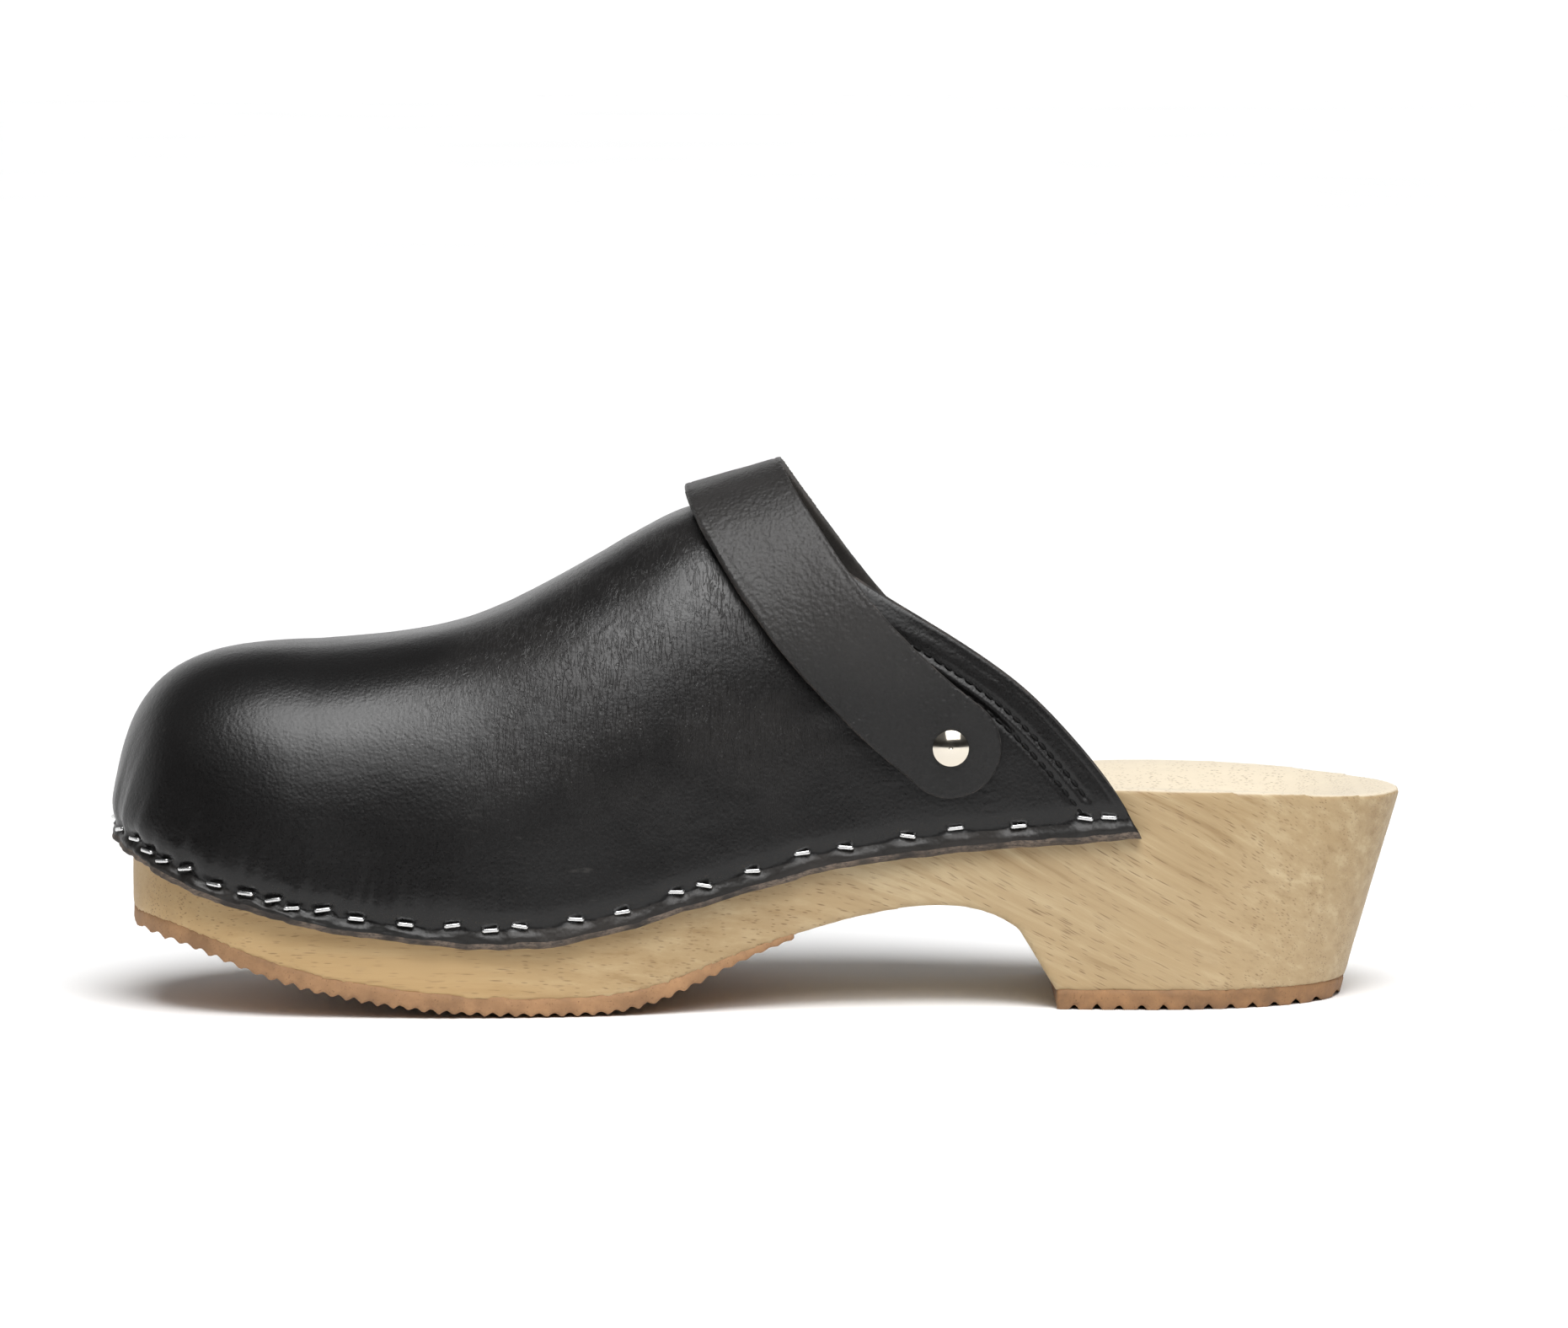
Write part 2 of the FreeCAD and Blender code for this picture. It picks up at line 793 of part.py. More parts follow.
# ---------------------------------------------------------------- rivets

HOLE_REACH = 60.0
FACING_INNER = 3.4


def round_bar(name, radius_rule, length):
    """A cylinder along Y on the rivet axis, long enough to pass through both sides."""
    bar = document.addObject("Part::Cylinder", name)
    bar.Label = name
    bar.setExpression("Radius", radius_rule)
    bar.Height = length
    bar.Placement.Rotation = FreeCAD.Rotation(Vector(1, 0, 0), -90)
    bar.setExpression("Placement.Base.x", "Dims.rivet_x")
    bar.setExpression("Placement.Base.z", "Dims.rivet_z")
    bar.Placement.Base.y = -length / 2
    return bar


fixed_bar = round_bar("rivet_hole_in_upper", "Dims.post_radius", 2 * HOLE_REACH)
running_bar = round_bar("rivet_hole_in_strap", "Dims.post_radius + Dims.running_clearance", 2 * HOLE_REACH)
vamp = cut("vamp", vamp_shell, fixed_bar)
topline_facing = cut("topline_facing", facing_shell, fixed_bar)


def dome_middle(rim, crown):
    """The middle of a ball's arc that falls from a crown on the axis to a rim."""
    rise = crown[1] - rim[1]
    ball = (rim[0] ** 2 + rise**2) / (2 * rise)
    half_turn = math.asin(rim[0] / ball) / 2
    return Vector(ball * math.sin(half_turn), crown[1] - ball * (1 - math.cos(half_turn)), 0)


def turned_body(name, corners, curved, sizes, side, offset_rule):
    """A piece turned about the rivet axis. corners are (radius, distance outwards)."""
    body = new_body(name)
    sketch = new_sketch(body, name + "_profile", "XY_Plane")
    count = len(corners)
    for i, corner in enumerate(corners):
        following = corners[(i + 1) % count]
        if i == curved:
            edge = Part.Arc(Vector(*corner, 0), dome_middle(corner, following), Vector(*following, 0))
        else:
            edge = Part.LineSegment(Vector(*corner, 0), Vector(*following, 0))
        sketch.addGeometry(edge, False)
    for i in range(count):
        if curved is None:
            sketch.addConstraint(Sketcher.Constraint("Coincident", i, 2, (i + 1) % count, 1))
    if curved is None:
        for i in range(count):
            level = corners[i][1] == corners[(i + 1) % count][1]
            sketch.addConstraint(Sketcher.Constraint("Horizontal" if level else "Vertical", i))
        sketch.addConstraint(Sketcher.Constraint("Coincident", 0, 1, -1, 1))
        for alias, kind, edge, value in sizes:
            index = sketch.addConstraint(Sketcher.Constraint(kind, edge, 1, edge, 2, value))
            sketch.renameConstraint(index, alias)
            sketch.setExpression(f"Constraints.{alias}", f"Dims.{alias}")
    turned = body.newObject("PartDesign::Revolution", name + "_turned")
    turned.Profile = sketch
    turned.ReferenceAxis = (sketch, ["V_Axis"])
    turned.Angle = 360
    turn = 180 if side < 0 else 0
    body.Placement.Rotation = FreeCAD.Rotation(Vector(0, 0, 1), turn)
    body.setExpression("Placement.Base.x", "Dims.rivet_x")
    body.setExpression("Placement.Base.z", "Dims.rivet_z")
    sign = "-" if side < 0 else ""
    body.setExpression("Placement.Base.y", f"{sign}({offset_rule})")
    return body


CAP_SEAT = "Dims.strap_inner_half + Dims.strap_thickness + Dims.cap_gap"
cap_corners = [
    (0.0, 0.0),
    (dim("cap_radius"), 0.0),
    (dim("cap_radius"), dim("cap_rim")),
    (0.0, dim("cap_height")),
]
SIDES = {"medial": -1, "lateral": 1}
rivet_caps = {}
rivet_posts = {}
for word, side in SIDES.items():
    rivet_caps[word] = turned_body(f"strap_rivet_cap_{word}", cap_corners, 2, [], side, CAP_SEAT)
    section = section_across(dim("rivet_x"), side)
    leather_face = abs(section.point(section.angle_at(dim("rivet_z")), 0.0).y)
    flange_face = leather_face - FACING_INNER - LAYER_GAP
    cap_seat = dim("strap_inner_half") + dim("strap_thickness") + dim("cap_gap")
    reach = cap_seat - flange_face
    thick = dim("flange_thickness")
    post_corners = [
        (0.0, 0.0),
        (dim("flange_radius"), 0.0),
        (dim("flange_radius"), thick),
        (dim("post_radius"), thick),
        (dim("post_radius"), thick + reach),
        (0.0, thick + reach),
    ]
    sizes = [
        ("flange_radius", "DistanceX", 0, dim("flange_radius")),
        ("flange_thickness", "DistanceY", 1, thick),
    ]
    rivet_posts[word] = turned_body(
        f"strap_rivet_post_{word}", post_corners, None, sizes, side, f"{flange_face - thick:.3f}"
    )

# ---------------------------------------------------------------- instep strap

STRAP_TOP_X = -4.8
STRAP_TOP_Z = 101.9
STRAP_MIDDLE_X = 12.4
STRAP_MIDDLE_Z = 71.6
TOP_TWIST = math.radians(13.0)
TWIST_STARTS = 0.45
SIDE_GAP = 0.6
FLAT_ARM_REACH = 28.0
SNUG_REACH = 50.0
CLIMB_CROWDING = 2.75


def strap_side_view(climb, across):
    """A place of the strap seen from the side; climb is 0 at the rivet and 1 at the top."""
    before = 1 - climb
    ends = (dim("rivet_x"), dim("rivet_z")), (STRAP_TOP_X, STRAP_TOP_Z)
    middle = (STRAP_MIDDLE_X, STRAP_MIDDLE_Z)
    place = [
        before**2 * ends[0][k] + 2 * before * climb * middle[k] + climb**2 * ends[1][k]
        for k in (0, 1)
    ]
    run = [
        before * (middle[k] - ends[0][k]) + climb * (ends[1][k] - middle[k])
        for k in (0, 1)
    ]
    lean = math.atan2(run[1], run[0]) - math.pi / 2 - TOP_TWIST * blend(TWIST_STARTS, 1.0, climb)
    return place[0] + across * math.cos(lean), place[1] + across * math.sin(lean)


def strap_point(place, across):
    """The strap's inner face, laid over the upper; place runs from -1 over the top to 1."""
    side = -1 if place < 0 else 1
    climb = 1 - abs(place) ** CLIMB_CROWDING
    x, z = strap_side_view(climb, across)
    top_x, top_z = strap_side_view(1.0, across)
    section = section_across(x, side)
    section.top += top_z - RIDGE(top_x)
    half = abs(section.edge.y) + SIDE_GAP
    section.edge = Vector(x, side * half, 0)
    snug = abs(section.point(section.angle_at(z), 0.0).y) if z < section.top else 0.0
    reach = math.hypot(x - dim("rivet_x"), z - dim("rivet_z"))
    flat = max(snug, dim("strap_inner_half"))
    return Vector(x, side * mix(flat, snug, blend(FLAT_ARM_REACH, SNUG_REACH, reach)), z)


def strap_grids():
    """The strap's outer and inner faces, point for point."""
    half = dim("strap_width") / 2
    nudge = 0.01
    inner = []
    outer = []
    for place in STRAP_PLACES:
        inner_row = []
        outer_row = []
        for share in (-1.0, -0.5, 0.0, 0.5, 1.0):
            across = half * share
            here = strap_point(place, across)
            along = strap_point(min(1.0, place + nudge), across)
            along -= strap_point(max(-1.0, place - nudge), across)
            sideways = strap_point(place, across + nudge) - strap_point(place, across - nudge)
            outward = along.cross(sideways)
            outward.normalize()
            middle = Vector(0, 0, dim("rivet_z"))
            if outward.dot(Vector(0, here.y, here.z) - middle) < 0:
                outward = -outward
            inner_row.append(here)
            outer_row.append(here + outward * dim("strap_thickness"))
        inner.append(inner_row)
        outer.append(outer_row)
    return outer, inner


STRAP_PLACES = even_steps(-1.0, 1.0, 49)
strap_band = make_feature("strap_band", sheet_solid(*strap_grids()))
strap_ends = []
for word, side in SIDES.items():
    end = document.addObject("Part::Cylinder", f"strap_end_{word}")
    end.setExpression("Radius", "Dims.strap_end_radius")
    end.setExpression("Height", "Dims.strap_thickness")
    end.Placement.Rotation = FreeCAD.Rotation(Vector(1, 0, 0), -90 * side)
    end.setExpression("Placement.Base.x", "Dims.rivet_x")
    end.setExpression("Placement.Base.z", "Dims.rivet_z")
    sign = "-" if side < 0 else ""
    end.setExpression("Placement.Base.y", f"{sign}Dims.strap_inner_half")
    strap_ends.append(end)
strap_whole = document.addObject("Part::MultiFuse", "strap_whole")
strap_whole.Shapes = [strap_band] + strap_ends
instep_strap = cut("instep_strap", strap_whole, running_bar)

# ---------------------------------------------------------------- staples


def staple_shape():
    """One staple: its crown along X, its legs along -Y, with the crown's outer face outwards."""
    half = dim("staple_crown") / 2
    wire = dim("staple_wire")
    leg = dim("staple_leg")
    corner = wire * 0.8
    inner = half - wire
    top = wire
    slope = math.sqrt(0.5)
    left_turn = Vector(-half + corner * (1 - slope), 0, top - corner * (1 - slope))
    right_turn = Vector(half - corner * (1 - slope), 0, top - corner * (1 - slope))
    edges = [
        Part.Arc(Vector(-half, 0, top - corner), left_turn, Vector(-half + corner, 0, top)),
        Part.LineSegment(Vector(-half + corner, 0, top), Vector(half - corner, 0, top)),
        Part.Arc(Vector(half - corner, 0, top), right_turn, Vector(half, 0, top - corner)),
        Part.LineSegment(Vector(half, 0, top - corner), Vector(half, 0, -leg)),
        Part.LineSegment(Vector(half, 0, -leg), Vector(inner, 0, -leg)),
        Part.LineSegment(Vector(inner, 0, -leg), Vector(inner, 0, 0)),
        Part.LineSegment(Vector(inner, 0, 0), Vector(-inner, 0, 0)),
        Part.LineSegment(Vector(-inner, 0, 0), Vector(-inner, 0, -leg)),
        Part.LineSegment(Vector(-inner, 0, -leg), Vector(-half, 0, -leg)),
        Part.LineSegment(Vector(-half, 0, -leg), Vector(-half, 0, top - corner)),
    ]
    wire_loop = Part.Wire([edge.toShape() for edge in edges])
    body = Part.Face(wire_loop).extrude(Vector(0, wire, 0))
    body.translate(Vector(0, -wire / 2, 0))
    return body


def staple_on(section, lift, tilt):
    """Places a staple on the leather of one section, a little above the lower edge."""
    height = section.margin + dim("staple_height") + lift
    angle = section.angle_at(height)
    place = section.point(angle, 0.0)
    outward = section.edge - section.centre
    outward.normalize()
    along = Vector(-outward.y, outward.x, 0)
    up = Vector(0, 0, 1)
    turned = FreeCAD.Rotation(along, up.cross(along) * -1, outward)
    lean = FreeCAD.Rotation(outward, tilt)
    return FreeCAD.Placement(place, lean * turned)


def staple_group(name, sections):
    pattern = staple_shape()
    solids = []
    for i, section in enumerate(sections):
        lift = 0.45 * math.sin(2.3 * i + len(name))
        tilt = 9.0 * math.sin(1.7 * i + 0.6 * len(name))
        solid = pattern.copy()
        solid.Placement = staple_on(section, lift, tilt)
        solids.append(solid)
    return make_feature(name, Part.makeCompound(solids))


# The staples are driven by hand, so their spacing is uneven.
MEDIAL_STAPLES = (
    -84.8, -78.4, -68.8, -59.6, -52.2, -46.6, -35.7, -26.6, -16.2,
    -10.8, -1.3, 8.5, 16.9, 29.1, 38.6, 51.0, 63.9, 68.6,
)
LATERAL_STAPLES = (
    -83.0, -75.5, -66.0, -58.5, -49.0, -40.5, -31.0, -23.5, -14.0,
    -5.5, 3.0, 12.5, 20.0, 29.5, 38.0, 46.5, 55.5, 64.0,
)
TOE_STAPLES = (-86, -81, -73.5, -65, -57, -50, -44.5, -39, -29, -18, -6, 7, 19, 31, 43, 54, 66, 78)

staples_medial = staple_group("staples_medial", [section_across(x, -1) for x in MEDIAL_STAPLES])
staples_lateral = staple_group("staples_lateral", [section_across(x, 1) for x in LATERAL_STAPLES])
staples_toe = staple_group("staples_toe", [section_round_toe(math.radians(b)) for b in TOE_STAPLES])

# ---------------------------------------------------------------- check and export

PARTS = [
    wooden_sole,
    forepart_outsole,
    heel_outsole,
    vamp,
    toe_puff,
    topline_facing,
    topline_thread_outer,
    topline_thread_inner,
    instep_strap,
    rivet_caps["medial"],
    rivet_caps["lateral"],
    rivet_posts["medial"],
    rivet_posts["lateral"],
    staples_medial,
    staples_toe,
    staples_lateral,
]

document.recompute()
for item in document.Objects:
    if "Invalid" in item.State or "Error" in item.State:
        raise RuntimeError(f"{item.Label} failed: {item.State}")
os.makedirs("parts", exist_ok=True)
for part in PARTS:
    if part.Shape.isNull() or not part.Shape.isValid():
        raise RuntimeError(f"{part.Label} has no valid shape")
    part.Shape.exportStep(f"parts/{part.Label}.step")
    print(f"{part.Label}: {len(part.Shape.Solids)} solids, {part.Shape.Volume:.1f} mm3")
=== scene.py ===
import json
import math

import bmesh
import bpy
import numpy as np
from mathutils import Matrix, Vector, noise
from mathutils.kdtree import KDTree


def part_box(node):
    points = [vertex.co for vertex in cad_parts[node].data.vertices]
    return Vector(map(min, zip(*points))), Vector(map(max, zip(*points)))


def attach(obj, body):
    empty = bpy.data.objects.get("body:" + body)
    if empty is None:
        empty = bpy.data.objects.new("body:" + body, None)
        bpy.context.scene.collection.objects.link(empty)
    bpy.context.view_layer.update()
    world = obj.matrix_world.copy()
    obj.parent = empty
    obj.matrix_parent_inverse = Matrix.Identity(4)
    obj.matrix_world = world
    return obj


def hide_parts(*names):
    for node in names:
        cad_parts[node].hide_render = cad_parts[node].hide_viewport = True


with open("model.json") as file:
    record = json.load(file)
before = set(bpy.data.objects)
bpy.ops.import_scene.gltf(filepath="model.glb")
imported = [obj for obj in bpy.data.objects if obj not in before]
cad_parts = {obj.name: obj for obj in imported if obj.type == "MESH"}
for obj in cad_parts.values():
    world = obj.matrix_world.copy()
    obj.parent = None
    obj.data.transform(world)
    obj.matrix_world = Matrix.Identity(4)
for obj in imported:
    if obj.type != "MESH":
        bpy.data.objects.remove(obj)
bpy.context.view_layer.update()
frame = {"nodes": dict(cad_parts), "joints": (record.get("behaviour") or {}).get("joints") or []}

# A right-foot wooden clog, in metres. The toe points along -X, the inner side of the foot is -Y.

wood_low, wood_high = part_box("wooden_sole")
vamp_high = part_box("vamp")[1]
strap_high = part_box("instep_strap")[1]
RIVET = Vector(frame["joints"][0]["pos_m"])
STITCH_SEED = 7
rng = np.random.default_rng(STITCH_SEED)

# ---------------- smooth curves


class Profile:
    """A natural cubic spline through stations, straight beyond its two ends."""

    def __init__(self, stations):
        self.x, self.z = np.array(stations, float).T
        step = np.diff(self.x)
        rise = np.diff(self.z) / step
        count = len(self.x)
        matrix = np.eye(count)
        right = np.zeros(count)
        for i in range(1, count - 1):
            matrix[i, i - 1 : i + 2] = step[i - 1], 2 * (step[i - 1] + step[i]), step[i]
            right[i] = 6 * (rise[i] - rise[i - 1])
        self.bend = np.linalg.solve(matrix, right)
        self.slope = rise[0] - step[0] * self.bend[1] / 6, rise[-1] + step[-1] * self.bend[-2] / 6

    def __call__(self, x):
        x = np.asarray(x, float)
        inside = np.clip(x, self.x[0], self.x[-1])
        i = np.clip(np.searchsorted(self.x, inside, side="right") - 1, 0, len(self.x) - 2)
        step = self.x[i + 1] - self.x[i]
        before = (self.x[i + 1] - inside) / step
        after = 1 - before
        curve = (before**3 - before) * self.bend[i] + (after**3 - after) * self.bend[i + 1]
        value = before * self.z[i] + after * self.z[i + 1] + curve * step * step / 6
        outside = x - inside
        return value + outside * np.where(outside < 0, self.slope[0], self.slope[1])


def closed_curve(stations, count):
    """Points and outward normals round a closed cubic spline through stations."""
    points = np.array(stations, float)
    following = np.roll(points, -1, axis=0)
    step = np.linalg.norm(following - points, axis=1)
    total = len(points)
    matrix = np.zeros((total, total))
    right = np.zeros((total, 2))
    for i in range(total):
        before, after = (i - 1) % total, (i + 1) % total
        matrix[i, before] += step[before]
        matrix[i, i] += 2 * (step[before] + step[i])
        matrix[i, after] += step[i]
        right[i] = 6 * (
            (points[after] - points[i]) / step[i] - (points[i] - points[before]) / step[before]
        )
    bend = np.linalg.solve(matrix, right)
    starts = np.concatenate([[0], np.cumsum(step)])
    at = np.linspace(0, starts[-1], count, endpoint=False)
    i = np.clip(np.searchsorted(starts, at, side="right") - 1, 0, total - 1)
    after = ((at - starts[i]) / step[i])[:, None]
    before = 1 - after
    size = step[i][:, None] ** 2 / 6
    j = (i + 1) % total
    curve = before * points[i] + after * points[j]
    curve += ((before**3 - before) * bend[i] + (after**3 - after) * bend[j]) * size
    tangent = np.roll(curve, -1, axis=0) - np.roll(curve, 1, axis=0)
    normal = np.stack([tangent[:, 1], -tangent[:, 0]], axis=1)
    normal /= np.linalg.norm(normal, axis=1)[:, None]
    flip = np.sum(normal * curve, axis=1) < 0
    normal[flip] *= -1
    return curve, normal


def blend(low, high, x):
    """A smooth step from 0 at low to 1 at high."""
    part = np.clip((np.asarray(x, float) - low) / (high - low), 0, 1)
    return part * part * (3 - 2 * part)


def mix(first, second, part):
    """Between two values: the first at 0, the second at 1."""
    return first + (second - first) * part


def bump(x, centre, width):
    """A rounded hump, 1 high at its centre."""
    return np.exp(-(((np.asarray(x, float) - centre) / width) ** 2))


# ---------------- shape of the upper

PLAN_OVERRUN = 0.00025
HALF_BALL = 0.045
PLAN_STATIONS = [
    (1.000, 0.00), (0.972, -0.40), (0.905, -0.615), (0.820, -0.675), (0.720, -0.650),
    (0.620, -0.652), (0.520, -0.725), (0.400, -0.88), (0.290, -0.965), (0.170, -0.965),
    (0.080, -0.90), (0.026, -0.73), (0.000, -0.40), (0.008, -0.03), (0.052, 0.36),
    (0.135, 0.70), (0.240, 0.94), (0.350, 1.00), (0.445, 0.92), (0.530, 0.745),
    (0.610, 0.662), (0.720, 0.650), (0.820, 0.675), (0.905, 0.615), (0.972, 0.40),
]
TOE_STAND = 0.0046
SIDE_STAND = 0.0023
TOE_CENTRE = np.array([-0.088, -0.004])
THROAT_X = -0.006
TOPLINE_REAR_X = 0.0720
OUTER_SETBACK = 0.0045
MARGIN_REAR_X = vamp_high.x
VIRTUAL_MARGIN = 0.012
LEATHER = 0.0022
TOE_SHARE = 0.36
THROAT_GATHER = 2.1

RIDGE = Profile([
    (-0.088, 0.0708), (-0.0725, 0.0722), (-0.0574, 0.0751), (-0.0423, 0.0819), (-0.0271, 0.0908),
    (-0.015, 0.0968), (-0.006, 0.0993), (0.012, 0.1023), (0.040, 0.1040), (0.080, 0.1045),
])
MARGIN = Profile([
    (-0.1285, 0.0325), (-0.1179, 0.0268), (-0.1078, 0.0230), (-0.0977, 0.0199), (-0.0826, 0.0167),
    (-0.065, 0.0144), (-0.0473, 0.0140), (-0.032, 0.0159), (-0.007, 0.0227), (0.0132, 0.0279),
    (0.0333, 0.0309), (0.0535, 0.0329), (0.0753, 0.0343),
])
TOPLINE = Profile([
    (-0.006, 0.0993), (0.002, 0.0952), (0.010, 0.0906), (0.0188, 0.0848), (0.032, 0.0767),
    (0.0446, 0.0687), (0.0532, 0.0620), (0.061, 0.0540), (0.0689, 0.0444), (0.072, 0.0400),
])

toe_x = wood_low.x + PLAN_OVERRUN
plan = [(mix(toe_x, wood_high.x, along), across * HALF_BALL) for along, across in PLAN_STATIONS]
sole_edge, sole_normal = closed_curve(plan, 2880)
stand = mix(TOE_STAND, SIDE_STAND, blend(toe_x, -0.060, sole_edge[:, 0]))
leather_edge = sole_edge + sole_normal * stand[:, None]


def edge_table(side):
    """x and half width of the leather's outer face on one side, in order of x."""
    chosen = leather_edge[(leather_edge[:, 1] * side > 0.012) & (leather_edge[:, 0] > -0.105)]
    chosen = chosen[np.argsort(chosen[:, 0])]
    return chosen[:, 0], chosen[:, 1] * side


EDGE = {-1: edge_table(-1), 1: edge_table(1)}
front_edge = leather_edge[leather_edge[:, 0] < TOE_CENTRE[0] + 0.03] - TOE_CENTRE
front_bearing = np.arctan2(front_edge[:, 1], -front_edge[:, 0])
front_order = np.argsort(front_bearing)
FRONT = front_bearing[front_order], np.linalg.norm(front_edge, axis=1)[front_order]


def half_width(x, side):
    return np.where(side < 0, np.interp(x, *EDGE[-1]), np.interp(x, *EDGE[1]))


def ridge_side(x):
    return mix(TOE_CENTRE[1], 0.0, blend(TOE_CENTRE[0], -0.010, x))


def margin_height(x, side):
    return MARGIN(x) - np.where(side > 0, 0.0018 * bump(x, 0.020, 0.035), 0.0)


def topline_height(x, side):
    low = 0.0050 * bump(x, 0.034, 0.024) * blend(THROAT_X, 0.020, x)
    setback = OUTER_SETBACK * blend(THROAT_X, 0.040, x)
    return np.where(side > 0, TOPLINE(x + setback) - low, TOPLINE(x))


class Sections:
    """The upright sections of the upper that pass through places of its flat chart."""

    def __init__(self, place, side=None):
        x, y = place[..., 0], place[..., 1]
        front = x < TOE_CENTRE[0]
        middle = ridge_side(x)
        if side is None:
            side = np.where(y < np.where(front, TOE_CENTRE[1], middle), -1, 1)
        across = y - TOE_CENTRE[1]
        bearing = np.arctan2(across, TOE_CENTRE[0] - x)
        reach_front = np.interp(bearing, *FRONT)
        reach_side = half_width(x, side) - side * middle
        self.reach = np.where(front, reach_front, reach_side)
        away = np.where(front, np.hypot(x - TOE_CENTRE[0], across), np.abs(y - middle))
        self.share = np.clip(away / self.reach, 0, 1)
        self.centre = np.stack(
            [np.where(front, TOE_CENTRE[0], x), np.where(front, TOE_CENTRE[1], middle)], axis=-1
        )
        ahead_x = np.where(front, -np.cos(bearing), 0.0)
        ahead_y = np.where(front, np.sin(bearing), side)
        self.ahead = np.stack([ahead_x, ahead_y], axis=-1)
        self.edge = self.centre + self.ahead * self.reach[..., None]
        side_power = mix(3.0, 2.75, blend(TOE_CENTRE[0], 0.0, x))
        self.power = np.where(front, 3.0 + 0.3 * np.cos(bearing) ** 2, side_power)
        self.margin = margin_height(self.edge[..., 0], side)
        self.low = self.margin - VIRTUAL_MARGIN
        self.top = RIDGE(np.maximum(self.centre[..., 0], TOE_CENTRE[0]))

    def angle_at(self, height):
        share = np.clip((height - self.low) / (self.top - self.low), 0, 1)
        return np.arctan2(share, (1 - share**self.power) ** (1 / self.power))

    def point(self, angle, depth):
        out = np.maximum(np.cos(angle), 0)
        up = np.maximum(np.sin(angle), 0)
        swell = (out**self.power + up**self.power) ** (-1 / self.power)
        length = (self.reach - depth) * out * swell
        height = self.low + (self.top - depth - self.low) * up * swell
        place = self.centre + self.ahead * length[..., None]
        return np.concatenate([place, height[..., None]], axis=-1)

    def chart_place(self, angle):
        return mix(self.edge, self.centre, (angle / (math.pi / 2))[..., None])


def surface_at(place, depth=0.0):
    sections = Sections(place)
    return sections.point((1 - sections.share) * math.pi / 2, depth)


def margin_place(u):
    """Chart place on the leather's lower edge; u runs from -1, inner rear, to 1, outer rear."""
    side = np.where(u < 0, -1, 1)
    bearing = np.clip(u / TOE_SHARE, -1, 1) * math.pi / 2
    ahead = np.stack([-np.cos(bearing), np.sin(bearing)], axis=-1)
    round_toe = TOE_CENTRE + ahead * np.interp(bearing, *FRONT)[:, None]
    rear = MARGIN_REAR_X - np.where(u < 0, 0.0, OUTER_SETBACK)
    x = mix(TOE_CENTRE[0], rear, (np.abs(u) - TOE_SHARE) / (1 - TOE_SHARE))
    along_side = np.stack([x, side * half_width(x, side)], axis=-1)
    edge = np.where((np.abs(u) < TOE_SHARE)[:, None], round_toe, along_side)
    sections = Sections(edge)
    return sections.chart_place(sections.angle_at(sections.margin))


def topline_place(u):
    side = np.where(u < 0, -1, 1)
    rear = TOPLINE_REAR_X - np.where(u < 0, 0.0, OUTER_SETBACK)
    x = mix(THROAT_X, rear, np.abs(u) ** THROAT_GATHER)
    sections = Sections(np.stack([x, side * 0.02], axis=-1), side)
    return sections.chart_place(sections.angle_at(topline_height(x, side)))


def chart(u, v):
    """Chart places for columns u and rows v, as a grid."""
    low, high = margin_place(u), topline_place(u)
    return mix(low[:, None, :], high[:, None, :], v[None, :, None])


def grid_normals(points):
    """Unit normals of a grid of points, pointing away from the foot."""
    along = np.gradient(points, axis=0)
    up = np.gradient(points, axis=1)
    normal = np.cross(along, up)
    normal /= np.maximum(np.linalg.norm(normal, axis=-1), 1e-12)[..., None]
    centre = np.array([0.0, 0.0, 0.035])
    outward = points - centre
    outward[..., 0] *= 0.25
    if np.mean(np.sum(normal * outward, axis=-1)) < 0:
        normal = -normal
    return normal


# ---------------- mesh helpers


def linked(name, data):
    made = bpy.data.objects.new(name, data)
    bpy.context.collection.objects.link(made)
    return made


def stands_for(piece, node, body):
    """The piece replaces a CAD node, which is hidden, and rides on its body."""
    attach(piece, body)
    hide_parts(node)


def nearest(points):
    """A tree that finds the nearest of many points."""
    tree = KDTree(len(points))
    for i, p in enumerate(points):
        tree.insert(p, i)
    tree.balance()
    return tree


def run_lengths(line):
    """Length along a line of points up to each of them."""
    return np.concatenate([[0], np.cumsum(np.linalg.norm(np.diff(line, axis=0), axis=1))])


def new_object(name, vertices, faces, materials, face_slots=None):
    mesh = bpy.data.meshes.new(name)
    mesh.from_pydata([tuple(v) for v in vertices], [], faces)
    for material in materials:
        mesh.materials.append(material)
    if face_slots is not None:
        mesh.polygons.foreach_set("material_index", np.array(face_slots, np.int32))
    mesh.polygons.foreach_set("use_smooth", np.ones(len(mesh.polygons), bool))
    mesh.update()
    return linked(name, mesh)


def consistent_normals(piece):
    mesh = bmesh.new()
    mesh.from_mesh(piece.data)
    bmesh.ops.recalc_face_normals(mesh, faces=mesh.faces)
    mesh.to_mesh(piece.data)
    mesh.free()


def rough(points, size, seed=0.0):
    """Smooth noise between about -1 and 1 at each point, for features of that size."""
    flat = points.reshape(-1, 3) / size + seed
    values = np.array([noise.noise(Vector(p)) for p in flat])
    return values.reshape(points.shape[:-1])


# ---------------- material helpers


